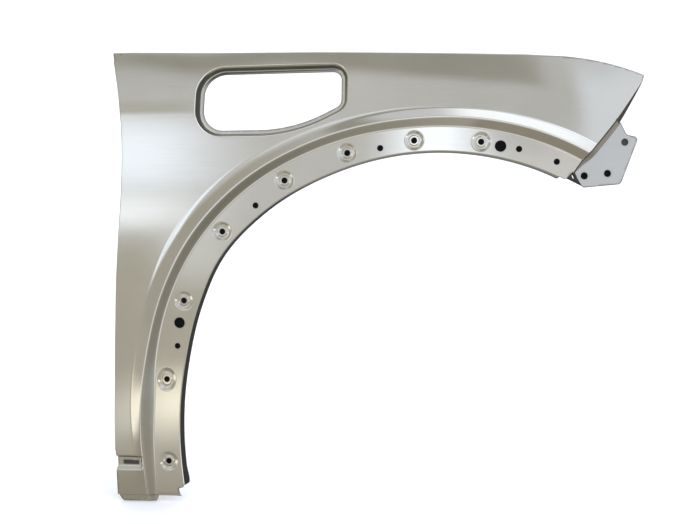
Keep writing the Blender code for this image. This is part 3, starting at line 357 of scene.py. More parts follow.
def arch_height(x, z):
    """Rise of the step wall, the flare and the skin over the arch flange."""
    angle, radius = polar(x, z)
    across = radius - band("arch", angle) - band("flange", angle)
    flare = band("flare rise", angle)
    step = band("skin rise", angle) + flare
    width = band("step", angle)
    down = rise(across - width, band("flare", angle), flare, BEND_ROUND, band("flare soft", angle))
    return rise(across, width, step, BEND_ROUND) - down


def vent_corners(offset):
    """Corners of the vent's outline with their radii, grown outwards by an offset."""
    rise_share = (VENT_RIGHT_LOW - VENT_BOTTOM) / (VENT_RIGHT - VENT_KNEE_X)
    slant = hypot(1, rise_share)
    knee_shift = offset * (slant - 1) / rise_share
    right_drop = offset * (slant - rise_share)
    places = ((VENT_LEFT - offset, VENT_TOP + offset), (VENT_LEFT - offset, VENT_BOTTOM - offset),
              (VENT_KNEE_X + knee_shift, VENT_BOTTOM - offset),
              (VENT_RIGHT + offset, VENT_RIGHT_LOW - right_drop), (VENT_RIGHT + offset, VENT_TOP + offset))
    return [(place, radius + offset) for place, radius in zip(places, VENT_CORNER_ROUNDS)]


def spun(arm, angle):
    c, s = cos(angle), sin(angle)
    return np.array((arm[0] * c - arm[1] * s, arm[0] * s + arm[1] * c))


def rounded(corners, closed=True):
    """Points along a polygon whose corners are arcs of their own radii."""
    points = []
    count = len(corners)
    for i, (corner, radius) in enumerate(corners):
        here = np.array(corner)
        if not closed and i in (0, count - 1):
            points.append(here)
            continue
        before = np.array(corners[i - 1][0]) - here
        after = np.array(corners[(i + 1) % count][0]) - here
        back = before / np.hypot(*before)
        ahead = after / np.hypot(*after)
        half = acos(max(-1.0, min(1.0, back @ ahead))) / 2
        reach = radius / tan(half)
        middle = here + (back + ahead) / np.hypot(*(back + ahead)) * radius / sin(half)
        start = here + back * reach - middle
        turn = pi - 2 * half
        side = 1 if back[0] * ahead[1] - back[1] * ahead[0] < 0 else -1
        arcs = max(2, ceil(turn / CORNER_STEP), ceil(turn * radius / LINE_STEP))
        for k in range(arcs + 1):
            points.append(middle + spun(start, side * turn * k / arcs))
    return points


def inside(points, loop):
    """Which points lie inside a closed loop."""
    p = np.asarray(points, dtype=float)
    a = np.array(loop)
    b = np.roll(a, -1, axis=0)
    low, high = a.min(axis=0), a.max(axis=0)
    near = np.flatnonzero(((p >= low) & (p <= high)).all(axis=1))
    q = p[near]
    within = np.zeros(len(q), dtype=bool)
    for (x0, z0), (x1, z1) in zip(a, b):
        if z0 == z1:
            continue
        crosses = (z0 > q[:, 1]) != (z1 > q[:, 1])
        within ^= crosses & (q[:, 0] < (x1 - x0) * (q[:, 1] - z0) / (z1 - z0) + x0)
    result = np.zeros(len(p), dtype=bool)
    result[near] = within
    return result


def distance_inside(x, z, loop):
    """Signed distance to a closed loop, positive inside it."""
    point = np.stack([np.ravel(x), np.ravel(z)], axis=1)
    start = np.array(loop)
    way = np.roll(start, -1, axis=0) - start
    offset = point[:, None, :] - start[None, :, :]
    t = np.clip((offset * way).sum(axis=2) / (way * way).sum(axis=1), 0.0, 1.0)
    gap = np.hypot(*np.moveaxis(offset - t[:, :, None] * way, 2, 0)).min(axis=1)
    return np.where(inside(point, loop), gap, -gap).reshape(np.shape(x))


VENT_RIM = rounded(vent_corners(VENT_FLANGE + VENT_DRAFT))


def vent_height(x, z):
    """The vent's rim falls to a recessed flat flange."""
    x = np.asarray(x, dtype=float)
    z = np.asarray(z, dtype=float)
    low = np.min(VENT_RIM, axis=0) - 2 * VENT_ROUND
    high = np.max(VENT_RIM, axis=0) + 2 * VENT_ROUND
    near = (x > low[0]) & (x < high[0]) & (z > low[1]) & (z < high[1])
    result = np.zeros(x.shape)
    if near.any():
        depth = distance_inside(x[near], z[near], VENT_RIM)
        result[near] = -rise(depth, VENT_DRAFT, VENT_DEPTH, VENT_ROUND)
    return result


def joggle_height(x, z):
    """The groove across the lower end."""
    down = rise(JOGGLE_TOP - z, JOGGLE_WALL, 1.0, JOGGLE_ROUND)
    up = rise(JOGGLE_LOW + JOGGLE_LOWER_WALL - z, JOGGLE_LOWER_WALL, 1.0, JOGGLE_ROUND)
    reach = 1 - fade(x, JOGGLE_END_X - JOGGLE_END_RUN, JOGGLE_END_X)
    return -JOGGLE_DEPTH * (down - up) * reach


def tab_height(z):
    """The lower tab steps inboard at the fold."""
    return -rise(-FOLD_Z - z, FOLD_RUN, TAB_STEP, FOLD_RUN / 2)


def seat_place(angle, share):
    return at_polar(angle, band("arch", angle) + share * band("flange", angle))


def seat_height(x, z):
    """Round recesses with a raised pad about the clip holes."""
    total = np.zeros(np.shape(x))
    for angle, share, long_share in SEAT_SHARES:
        cx, cz = seat_place(angle, share)
        a = radians(angle)
        out = -(x - cx) * cos(a) + (z - cz) * sin(a)
        way = ((x - cx) * sin(a) + (z - cz) * cos(a)) / long_share
        reach = np.hypot(out, way)
        wall = SEAT_RADIUS - SEAT_FLOOR
        total -= rise(SEAT_RADIUS - reach, wall, SEAT_DEPTH, wall / 4)
        pad_wall = SEAT_PAD - SEAT_PAD_TOP
        total += rise(SEAT_PAD - reach, pad_wall, SEAT_PAD_RISE, pad_wall / 4)
    return total


def outboard(x, z):
    """Full height of the panel's outer face over the arch flange."""
    base = body_height(x, z) + arch_height(x, z) + vent_height(x, z)
    return base + joggle_height(x, z) + tab_height(z) + seat_height(x, z)


def along(start, end, count):
    return [start + (end - start) * i / count for i in range(count + 1)]


def circle(cx, cz, radius, sides, angle=0, stretch=1.0):
    """Ring of points, which may be stretched along the arch."""
    ring = []
    a = radians(angle)
    for i in range(sides):
        t = 2 * pi * i / sides
        out = radius * cos(t)
        way = radius * stretch * sin(t)
        ring.append((cx - out * cos(a) + way * sin(a), cz + out * sin(a) + way * cos(a)))
    return ring


def arch_line(shares, offset):
    """A line along the arch, off the lip bend by shares of the widths and an offset."""
    steps = int(radians(FRONT_ANGLE - FOOT_ANGLE) * (ARCH_RADIUS + FLANGE_WIDTH) / LINE_STEP)
    names = ("flange", "step", "flare", "flare soft")
    return [at_polar(a, band("arch", a) + (sum(s * band(n, a) for s, n in zip(shares, names)) + offset))
            for a in along(FOOT_ANGLE, FRONT_ANGLE, steps)]


def lip_end():
    """Where the arch lip ends above the notch."""
    angle = FOOT_ANGLE
    for _ in range(12):
        angle = -degrees(asin(LIP_END_Z / band("arch", angle)))
    return arch_point(angle)


def foot_outline():
    """Border of the lower end, from the rear edge round the tab to the notch."""
    rear = rear_x(-FOLD_Z)
    tab_left = rear + TAB_INSET
    tab_right = tab_left + TAB_WIDTH
    strip = -FOLD_Z - STRIP_DROP
    bottom = -FOLD_Z - TAB_DROP
    lip_x, lip_z = lip_end()
    corners = (
        ((rear, -FOLD_Z + TAB_INSET), 0),
        ((rear, -FOLD_Z), TAB_INSET / 3),
        ((tab_left, bottom), TAB_ROUND),
        ((tab_right, bottom), TAB_ROUND / 2),
        ((tab_right + TAB_INSET / 2, strip), TAB_ROUND / 3),
        ((-FOOT_X, strip), FOOT_CORNER_ROUND),
        ((-NOTCH_X, -NOTCH_Z - NOTCH_ROUND / 2), NOTCH_ROUND),
        ((lip_x - NOTCH_ROUND / 4, -NOTCH_Z + NOTCH_ROUND / 2), NOTCH_ROUND / 4),
        ((lip_x, lip_z), 0),
    )
    return rounded(corners, closed=False)


def arch_border():
    """Border along the lip bend, from the notch to the front corner."""
    first = arch_angle(*lip_end())
    last = arch_angle(FRONT_CORNER_X, FRONT_CORNER_Z) - degrees(FRONT_CORNER_ROUND / ARCH_RADIUS)
    steps = int(radians(last - first) * ARCH_RADIUS / LINE_STEP)
    return [arch_point(a) for a in along(first, last, steps)]


def front_edge(t):
    """Point of the front edge at a share of the way from the nose to the lower corner."""
    along_shares, down_shares = zip(*FRONT_SHARES)
    stations = np.linspace(0, 1, len(FRONT_SHARES))
    x = NOSE_X - (NOSE_X - FRONT_CORNER_X) * follow(stations, along_shares, t)
    z = NOSE_Z - (NOSE_Z - FRONT_CORNER_Z) * follow(stations, down_shares, t)
    return x, z


def rear_border():
    """Rear edge from the top down to the joggle and on to the lower end."""
    upper = along(TOP_Z - TOP_CORNER_ROUND * 2, JOGGLE_TOP + JOGGLE_ROUND, int(TOP_Z / LINE_STEP))
    lower = along(JOGGLE_LOW - JOGGLE_ROUND, -FOLD_Z + 2 * TAB_INSET, 8)
    joggle = [(rear_x(z) + JOGGLE_DEPTH / 2, z)
              for z in (JOGGLE_TOP - JOGGLE_WALL, JOGGLE_LOW + JOGGLE_LOWER_WALL)]
    return [(rear_x(z), z) for z in upper] + joggle + [(rear_x(z), z) for z in lower]


def panel_outline():
    """Whole border of the blank, as one closed loop."""
    def bend(before, place, after, radius):
        return rounded(((before, 0), (place, radius), (after, 0)), closed=False)[1:-1]

    def clear(points, place, radius):
        return [p for p in points if dist(p, place) > radius]

    corner = (FRONT_CORNER_X, FRONT_CORNER_Z)
    steps = int(hypot(NOSE_X - FRONT_CORNER_X, NOSE_Z - FRONT_CORNER_Z) / LINE_STEP)
    front = [front_edge(t) for t in along(1, 0, steps)]
    front = clear(front, corner, 1.2 * FRONT_CORNER_ROUND)
    arch = clear(arch_border(), corner, 1.2 * FRONT_CORNER_ROUND)
    tip = front[-1]
    front = clear(front, tip, 1.6 * NOSE_ROUND)
    top = [(x, top_z(x)) for x in along(NOSE_X, -REAR_X, int((NOSE_X + REAR_X) / LINE_STEP))[1:-1]]
    top = clear(top, tip, 1.6 * NOSE_ROUND)
    rear = rear_border()
    rear_top = (rear_x(TOP_Z), top_z(-REAR_X))
    return (foot_outline()[:-1] + arch + bend(arch[-1], corner, front[0], FRONT_CORNER_ROUND) + front
            + bend(front[-1], tip, top[0], NOSE_ROUND) + top
            + bend(top[-1], rear_top, rear[0], TOP_CORNER_ROUND) + rear)


def all_holes():
    """Places and radii of every round hole in the arch flange."""
    tables = ((SEAT_SHARES, CLIP_RADIUS), (CLIP_SHARES, CLIP_RADIUS), (LOCATOR_SHARES, LOCATOR_RADIUS))
    return [(*seat_place(a, s), radius, a) for table, radius in tables for a, s, *_ in table]


def joggle_slot(grow=0.0):
    half = SLOT_HEIGHT / 2 + grow
    left, right = SLOT_LEFT - grow, SLOT_RIGHT + grow
    places = ((left, SLOT_Z - half), (right, SLOT_Z - half), (right, SLOT_Z + half), (left, SLOT_Z + half))
    return rounded([(place, SLOT_ROUND + grow) for place in places])


def cut_loops():
    holes = [circle(x, z, r, max(HOLE_SIDES, int(2 * pi * r / HOLE_STEP)), a)
             for x, z, r, a in all_holes()]
    return [rounded(vent_corners(0.0))] + holes + [joggle_slot()]


def arch_lines():
    """Lines along the arch across each bend and wall."""
    sums = [(shares, near) for near in along(-BEND_ROUND, BEND_ROUND, 4) for shares in ((1,), (1, 1))]
    sums += [(shares, 0) for s in (0.35, 0.65) for shares in ((1, s), (1, 1, s))]
    sums += [((1, 1, 1, s), 0) for s in (-1, -0.5, 0, 0.5, 1)] + [((s,), 0) for s in (0.04, 0.1)]
    return [arch_line(*each) for each in sums]


def seat_rings():
    wall = (SEAT_RADIUS - SEAT_FLOOR) / 4
    pad = (SEAT_PAD - SEAT_PAD_TOP) / 4
    bends = ((SEAT_RADIUS, wall), (SEAT_FLOOR, wall), (SEAT_PAD, pad), (SEAT_PAD_TOP, pad))
    radii = [middle + side * half for middle, half in bends for side in (1, 0, -1)]
    return [circle(*seat_place(angle, share), radius, 48, angle, long_share)
            for angle, share, long_share in SEAT_SHARES for radius in radii]


def vent_rings():
    outer = VENT_FLANGE + VENT_DRAFT
    offsets = (along(outer + VENT_ROUND, outer - VENT_ROUND, 4)
               + along(VENT_FLANGE + VENT_ROUND, VENT_FLANGE - VENT_ROUND, 4))
    return [rounded(vent_corners(o)) for o in offsets]


def level_line(x0, x1, z):
    return [(x, z) for x in along(x0, x1, max(1, int(abs(x1 - x0) / LINE_STEP)))]


def body_lines():
    """Lines across the crease, the joggle and the fold."""
    lines = []
    for z in along(CREASE_Z - CREASE_ROUND, CREASE_Z + CREASE_ROUND, 4):
        lines.append(level_line(rear_x(z), VENT_LEFT - VENT_FLANGE - VENT_DRAFT - 2 * VENT_ROUND, z))
    for middle in (JOGGLE_TOP, JOGGLE_TOP - JOGGLE_WALL, JOGGLE_LOW + JOGGLE_LOWER_WALL, JOGGLE_LOW):
        for z in along(middle - JOGGLE_ROUND, middle + JOGGLE_ROUND, 3):
            lines.append(level_line(-REAR_X - 5, JOGGLE_END_X + 1, z))
    for x in along(JOGGLE_END_X - JOGGLE_END_RUN, JOGGLE_END_X, 4):
        lines.append([(x, JOGGLE_TOP + JOGGLE_ROUND), (x, JOGGLE_LOW - JOGGLE_ROUND)])
    for share in (-0.5, 0.0, 0.5, 1.0, 1.5):
        lines.append(level_line(-REAR_X - 5, -FOOT_X + 8, -FOLD_Z - share * FOLD_RUN))
    return lines


def fill_points(fixed, outline, cuts, step):
    """Spread points over the open parts of the blank, clear of its lines."""
    border = np.array(outline)
    low, high = border.min(axis=0), border.max(axis=0)
    row_step = step * sin(pi / 3)
    spread = []
    for row in range(int((high[1] - low[1]) / row_step) + 1):
        shift = step / 2 if row % 2 else 0.0
        columns = np.arange(low[0] + shift, high[0], step)
        spread.append(np.stack([columns, np.full(len(columns), low[1] + row * row_step)], axis=1))
    spread = np.concatenate(spread)
    keep = inside(spread, outline)
    for loop in cuts:
        keep &= ~inside(spread, loop)
    spread = spread[keep]
    tree = KDTree(len(fixed))
    for i, (x, z) in enumerate(fixed):
        tree.insert((x, z, 0), i)
    tree.balance()
    return [(x, z) for x, z in spread if tree.find((x, z, 0))[2] > 0.45 * step]


def densify(line, closed, step):
    """Add points to the long stretches of a line."""
    result = []
    count = len(line) if closed else len(line) - 1
    for i in range(count):
        a = np.array(line[i])
        b = np.array(line[(i + 1) % len(line)])
        parts = max(1, ceil(np.hypot(*(b - a)) / step - 0.01))
        result += [tuple(a + (b - a) * k / parts) for k in range(parts)]
    if not closed:
        result.append(tuple(line[-1]))
    return result


def fill_blank(outline, cuts, loops, lines, fill_step, line_step=LINE_STEP):
    """Triangles of the flat blank: its points, and its faces as lists of point numbers."""
    points = []
    edges = []
    for line, closed in [(outline, True)] + [(c, True) for c in cuts + loops] + [(n, False) for n in lines]:
        dense = densify(line, closed, 1.3 * line_step)
        first = len(points)
        points += dense
        last = len(dense) if closed else len(dense) - 1
        edges += [(first + i, first + (i + 1) % len(dense)) for i in range(last)]
    points += fill_points(points, outline, cuts, fill_step)
    result = delaunay_2d_cdt([Vector(p) for p in points], edges, [], 0, MERGE)
    place = np.array([(v.x, v.y) for v in result[0]])
    faces = np.array([f for f in result[2]])
    middle = place[faces].mean(axis=1)
    side = place[faces[:, 1:]] - place[faces[:, :1]]
    area = (side[:, 0, 0] * side[:, 1, 1] - side[:, 0, 1] * side[:, 1, 0]) / 2
    faces[area < 0] = faces[area < 0][:, ::-1]
    keep = inside(middle, outline) & (np.abs(area) > MERGE * MERGE)
    for loop in cuts:
        keep &= ~inside(middle, loop)
    return place, faces[keep]


class Sheet:
    """Outer face of sheet metal: points, their outward directions, faces, and zones of painted shade and
    painted highlight.
    """

    def __init__(self):
        self.place = []
        self.out = []
        self.dark = []
        self.painted_highlight = []
        self.faces = []

    def add(self, place, out, dark=0.0, painted_highlight=0.0):
        out = np.asarray(out, dtype=float)
        self.place.append(np.asarray(place, dtype=float))
        self.out.append(out / np.linalg.norm(out))
        self.dark.append(dark)
        self.painted_highlight.append(painted_highlight)
        return len(self.place) - 1

    def border(self):
        """Border edges as face-ordered pairs."""
        seen = {}
        for face in self.faces:
            for a, b in zip(face, face[1:] + face[:1]):
                seen[(a, b)] = seen.get((a, b), 0) + 1
        return [(a, b) for a, b in seen if (b, a) not in seen]

    def chain(self, belongs, order=lambda x, z: z):
        """Border points of one edge of the sheet, in order."""
        points = {i for edge in self.border() for i in edge}
        picked = [i for i in points if belongs(self.place[i][0], self.place[i][2])]
        return sorted(picked, key=lambda i: order(self.place[i][0], self.place[i][2]))

    def grow(self, columns):
        """Faces between columns of points that start on the border."""
        edges = set(self.border())
        for left, right in zip(columns, columns[1:]):
            forward = (right[0], left[0]) in edges
            if not forward and (left[0], right[0]) not in edges:
                continue
            for row in range(len(left) - 1):
                corners = [left[row], right[row], right[row + 1], left[row + 1]]
                self.faces.append(corners if forward else corners[::-1])

    def join(self, faces, number, facing):
        """Add blank faces by their new numbers, each turned to face the given way."""
        for face in faces:
            a, b, c = (number[int(i)] for i in face)
            if len({a, b, c}) == 3:
                normal = np.cross(self.place[b] - self.place[a], self.place[c] - self.place[a])
                self.faces.append([a, b, c] if normal @ facing(c) > 0 else [a, c, b])


def depth_at(x, z):
    return -outboard(np.array([x]), np.array([z]))[0]


def sheet_lean(x, z, nx, nz):
    """Angle at which the sheet runs inboard where it meets its border."""
    return atan2(depth_at(x, z) - depth_at(x - nx * PROBE, z - nz * PROBE), PROBE)


def drawn(place, faces, height, mark=None):
    """Blank drawn to depth, with its outward directions from the slope of the height."""
    used, faces = np.unique(faces, return_inverse=True)
    x, z = place[used].T
    dark, painted_highlight = mark(x, z) if mark else np.zeros((2, len(x)))
    y = -height(x, z)
    slope_x = (height(x + PROBE, z) - height(x - PROBE, z)) / (2 * PROBE)
    slope_z = (height(x, z + PROBE) - height(x, z - PROBE)) / (2 * PROBE)
    sheet = Sheet()
    for i in range(len(x)):
        sheet.add((x[i], y[i], z[i]), (-slope_x[i], -1.0, -slope_z[i]), dark[i], painted_highlight[i])
    sheet.faces = faces.reshape(-1, 3).tolist()
    return sheet


def section_steps(lean, pieces):
    """Offsets (outwards, inboard) and angle along a section of bends and straights."""
    out = inboard = 0.0
    angle = lean
    steps = []
    for kind, size, target, count in pieces:
        turn = (target - angle) / count if kind == "bend" else 0.0
        for _ in range(count):
            length = abs(turn) * size if kind == "bend" else size / count
            middle = angle + turn / 2
            out += length * cos(middle)
            inboard += length * sin(middle)
            angle += turn
            steps.append((out, inboard, angle))
    return steps


def add_flange(sheet, chain, outward, pieces, dark=None, lean=sheet_lean):
    """Grow a flange from a chain of border points, each with its own direction and section."""
    columns = []
    for first in chain:
        x, y, z = sheet.place[first]
        nx, nz = outward(x, z)
        column = [first]
        steps = section_steps(lean(x, z, nx, nz), pieces(x, z))
        for row, (out, inboard, angle) in enumerate(steps):
            facing = (nx * sin(angle), -cos(angle), nz * sin(angle))
            shade = dark(x, z, row / (len(steps) - 1)) if dark else 0.0
            column.append(sheet.add((x + nx * out, y + inboard, z + nz * out), facing, shade))
        columns.append(column)
    sheet.grow(columns)
    return columns


def normal_of(line_x, line_z, side):
    length = hypot(line_x, line_z)
    return side * line_z / length, -side * line_x / length


def arch_outward(x, z):
    angle = arch_angle(x, z)
    (ax, az), (bx, bz) = arch_point(angle - 0.5), arch_point(angle + 0.5)
    return normal_of(bx - ax, bz - az, 1)


def lip_pieces(x, z):
    """The lip turns square inboard, and stands off a little at the foot."""
    foot = max(0.0, 1 - max(0.0, z + LIP_END_Z) / LIP_FOOT_LENGTH)
    depth = LIP_DEPTH * (1 - 0.3 * foot ** 4)
    target = pi / 2 - LIP_FOOT_FLARE * foot ** 2
    return (("bend", LIP_ROUND, target, BEND_STEPS), ("straight", depth - LIP_ROUND, target, 5))


def rear_outward(x, z):
    return normal_of(rear_x(z + 5) - rear_x(z - 5), 10, -1)


def rear_pieces(x, z):
    end = min(fade(z, JOGGLE_TOP + RETURN_RELIEF, JOGGLE_TOP + 3 * RETURN_RELIEF),
              1 - fade(z, TOP_Z - 4 * RETURN_RELIEF, TOP_Z - 2 * RETURN_RELIEF))
    width = REAR_RETURN * (0.4 + 0.6 * end)
    return (("bend", RETURN_ROUND, pi / 2, BEND_STEPS), ("straight", width, pi / 2, 2))


def top_outward(x, z):
    return normal_of(10, top_z(x + 5) - top_z(x - 5), -1)


def rail_pieces(x, z):
    """Down behind the top edge by an even drop, then round to level."""
    lean = sheet_lean(x, z, *top_outward(x, z))
    bend = RAIL_ROUND * (0.2 + 0.8 * fade(min(x - RAIL_START_X, RAIL_END_X - x), 0, RAIL_WIDTH))
    turns = (("bend", bend, RAIL_DROP_ANGLE, BEND_STEPS), ("bend", RAIL_ROUND, pi / 2, BEND_STEPS))
    wall = (section_steps(lean, turns)[-1][0] + RAIL_DROP) / -cos(RAIL_DROP_ANGLE)
    return turns[0], ("straight", wall, RAIL_DROP_ANGLE, 3), turns[1]


def front_station(x, z):
    return (NOSE_Z - z) / (NOSE_Z - FRONT_CORNER_Z)


FRONT_LINE = np.array([front_edge(t) for t in np.linspace(1, 0, 241)])


def front_outward(x, z):
    i = int(np.argmin(np.abs(FRONT_LINE[:, 1] - z)))
    a = FRONT_LINE[max(i - 4, 0)]
    b = FRONT_LINE[min(i + 4, len(FRONT_LINE) - 1)]
    return normal_of(b[0] - a[0], b[1] - a[1], 1)


def strip_pieces(x, z):
    """The visible return under the nose, narrow at its tip."""
    share = front_station(x, z) / FRONT_STRIP_SHARE
    width = FRONT_STRIP * min(1.0, max(0.12, share))
    bend = RETURN_ROUND * min(1.0, 0.2 + 3 * share)
    return (("bend", bend, FRONT_STRIP_ANGLE, BEND_STEPS), ("straight", width, FRONT_STRIP_ANGLE, 3))


def front_pieces(x, z):
    return (("bend", RETURN_ROUND, pi / 2, BEND_STEPS), ("straight", FRONT_RETURN, pi / 2, 3))


def lip_shade(x, z, share):
    """Painted shade on the lip, deepest down the rear leg."""
    leg = 1 - fade(arch_angle(x, z), 50, 68)
    return (LIP_PAINTED_SHADE + LIP_LEG_PAINTED_SHADE * leg) * fade(share, 0.1, 0.5)


def edge_shade(x, z, share):
    """Painted shade along the rounded edge of a hidden return."""
    return RETURN_PAINTED_SHADE * (fade(share, 0.02, 0.12) * (1 - fade(share, 0.5, 0.8)))


def add_panel_flanges(sheet):
    """Lip, rear return, upper rail flange and front returns."""
    def on_arch(x, z):
        angle, radius = polar(x, z)
        last = arch_angle(FRONT_CORNER_X, FRONT_CORNER_Z) - 1.0
        return abs(radius - band("arch", angle)) < BORDER_TOLERANCE and z > -LIP_END_Z - MERGE and angle < last

    def on_rear(x, z):
        clear = JOGGLE_TOP + RETURN_RELIEF < z < TOP_Z - 2 * RETURN_RELIEF
        return clear and abs(x - rear_x(z)) < BORDER_TOLERANCE

    def on_rail(x, z):
        return RAIL_START_X < x < RAIL_END_X and abs(z - top_z(x)) < BORDER_TOLERANCE

    def on_front(x, z):
        edge = np.interp(z, FRONT_LINE[:, 1], FRONT_LINE[:, 0])
        return abs(x - edge) < BORDER_TOLERANCE and x > FRONT_CORNER_X

    def on_strip(x, z):
        return on_front(x, z) and 0.03 < front_station(x, z) < FRONT_STRIP_SHARE + 0.035

    def on_return(x, z):
        return on_front(x, z) and joint - MERGE < front_station(x, z) < FRONT_RETURN_END_SHARE

    lip = sheet.chain(on_arch, arch_angle)
    add_flange(sheet, lip, arch_outward, lip_pieces, lip_shade)
    add_flange(sheet, sheet.chain(on_rear), rear_outward, rear_pieces, edge_shade)
    rail = add_flange(sheet, sheet.chain(on_rail, lambda x, z: x), top_outward, rail_pieces, edge_shade)
    add_rail_shelf(sheet, rail)
    strip = sheet.chain(on_strip)
    joint = front_station(sheet.place[strip[0]][0], sheet.place[strip[0]][2])
    # Painted shade on the return strip under the nose, growing across its width
    add_flange(sheet, strip, front_outward, strip_pieces, lambda x, z, t: STRIP_PAINTED_SHADE * fade(t, 0.1, 0.6))
    add_flange(sheet, sheet.chain(on_return), front_outward, front_pieces)


def rail_station(share):
    return RAIL_START_X + share * (RAIL_END_X - RAIL_START_X)


def rail_place(x, across):
    z = top_z(x)
    nx, nz = top_outward(x, z)
    out, inboard, _ = section_steps(sheet_lean(x, z, nx, nz), rail_pieces(x, z))[-1]
    return x + nx * out, depth_at(x, z) + inboard + across, z + nz * out


def rail_outline(stations):
    """Border of the level flange: wide round each bolt hole and narrow between."""
    low, high = stations[0], stations[-1]
    corners = [((low, RAIL_NARROW), 0)]
    for share in RAIL_HOLE_SHARES:
        for side in (-1, 1):
            tab = rail_station(share) + side * RAIL_TAB_WIDTH / 2
            slant = tab + side * RAIL_TAB_SLANT
            corners += [((slant, RAIL_NARROW), 6.0), ((tab, RAIL_WIDTH), 5.0)][::-side]
    corners = [c for c in corners if low <= c[0][0] < high] + [((high, RAIL_NARROW), 0)]
    edge = [tuple(p) for p in rounded(corners, closed=False)]
    return [(x, 0.0) for x in stations] + edge[::-1]


def add_rail_shelf(sheet, columns):
    """Level flange with its bolt holes, joined to the bend before it."""
    stations = [sheet.place[c[0]][0] for c in columns]
    ends = [c[-1] for c in columns]
    holes = [circle(rail_station(s), RAIL_WIDTH / 2, RAIL_HOLE_RADIUS, HOLE_SIDES) for s in RAIL_HOLE_SHARES]
    place, faces = fill_blank(rail_outline(stations), holes, [], [], FILL_STEP, 2 * LINE_STEP)
    used = {int(i) for face in faces for i in face}
    number = {}
    for i in used:
        x, across = place[i]
        near = int(np.argmin(np.abs(np.array(stations) - x)))
        if abs(across) < MERGE and abs(stations[near] - x) < 10 * MERGE:
            number[i] = ends[near]
        else:
            nx, nz = top_outward(x, 0.0)
            number[i] = sheet.add(rail_place(x, across), (nx, 0.0, nz))
    sheet.join(faces, number, lambda i: (0, 0, 1))


def put(name, data):
    item = bpy.data.objects.new(name, data)
    bpy.context.collection.objects.link(item)
    return item


def piece(name, verts, faces):
    """Object in the row frame from points in millimetres."""
    mesh = bpy.data.meshes.new(name)
    mesh.from_pydata([tuple(v) for v in (np.array(verts) - ROW_ORIGIN) * MM], [], faces)
    return put(name, mesh)


def shell(name, sheet, thickness, rounds):
    """Closed piece from a sheet: outer face, inner face and a rounded rim, with directions and marks."""
    place, out, dark, painted_highlight = (np.array(v) for v in (sheet.place, sheet.out, sheet.dark, sheet.painted_highlight))
    count = len(place)
    half = thickness / 2
    faces = sheet.faces + [[i + count for i in f[::-1]] for f in sheet.faces]
    border = sheet.border()
    side = {}
    for a, b in border:
        way = place[b] - place[a]
        for i in (a, b):
            side[i] = side.get(i, 0) + np.cross(way, out[i])
    order = sorted(side)
    number = {i: k for k, i in enumerate(order)}
    away = np.array([side[i] / max(np.linalg.norm(side[i]), 1e-9) for i in order])
    place[order] -= away * thickness / 2
    # Painted shade along the cut rim: full on the outer borders, lighter round the holes
    rim = np.ones(len(order))
    for x, z, radius in rounds:
        rim[np.hypot(place[order, 0] - x, place[order, 2] - z) < radius + thickness] = HOLE_RIM_PAINTED_SHADE
    edge = np.zeros(count)
    edge[order] = rim
    layers = [(place, out, dark, painted_highlight, edge), (place - out * thickness, -out, dark, 0 * painted_highlight, edge)]
    rows = []
    for step in range(1, RIM_STEPS):
        phi = pi * step / RIM_STEPS
        rows.append(sum(len(layer[0]) for layer in layers))
        layers.append((place[order] - out[order] * half * (1 - cos(phi)) + away * half * sin(phi),
                       out[order] * cos(phi) + away * sin(phi), dark[order], 0 * rim, rim))
    for a, b in border:
        left = [a] + [r + number[a] for r in rows] + [a + count]
        right = [b] + [r + number[b] for r in rows] + [b + count]
        for row in range(RIM_STEPS):
            faces.append([right[row], left[row], left[row + 1], right[row + 1]])
    verts, normals, *marks = (np.concatenate(part) for part in zip(*layers))
    item = piece(name, verts, faces)
    mesh = item.data
    mesh.update()
    mesh.shade_smooth()
    mesh.normals_split_custom_set_from_vertices([tuple(n) for n in normals])
    for mark, values in zip(("dark", "painted_highlight", "edge"), marks):
        layer = mesh.attributes.new(mark, "FLOAT", "POINT")
        layer.data.foreach_set("value", values.astype(np.float32))
    return item


def bump_at(distance, half_width):
    return 1 - fade(np.abs(distance), 0.0, half_width)


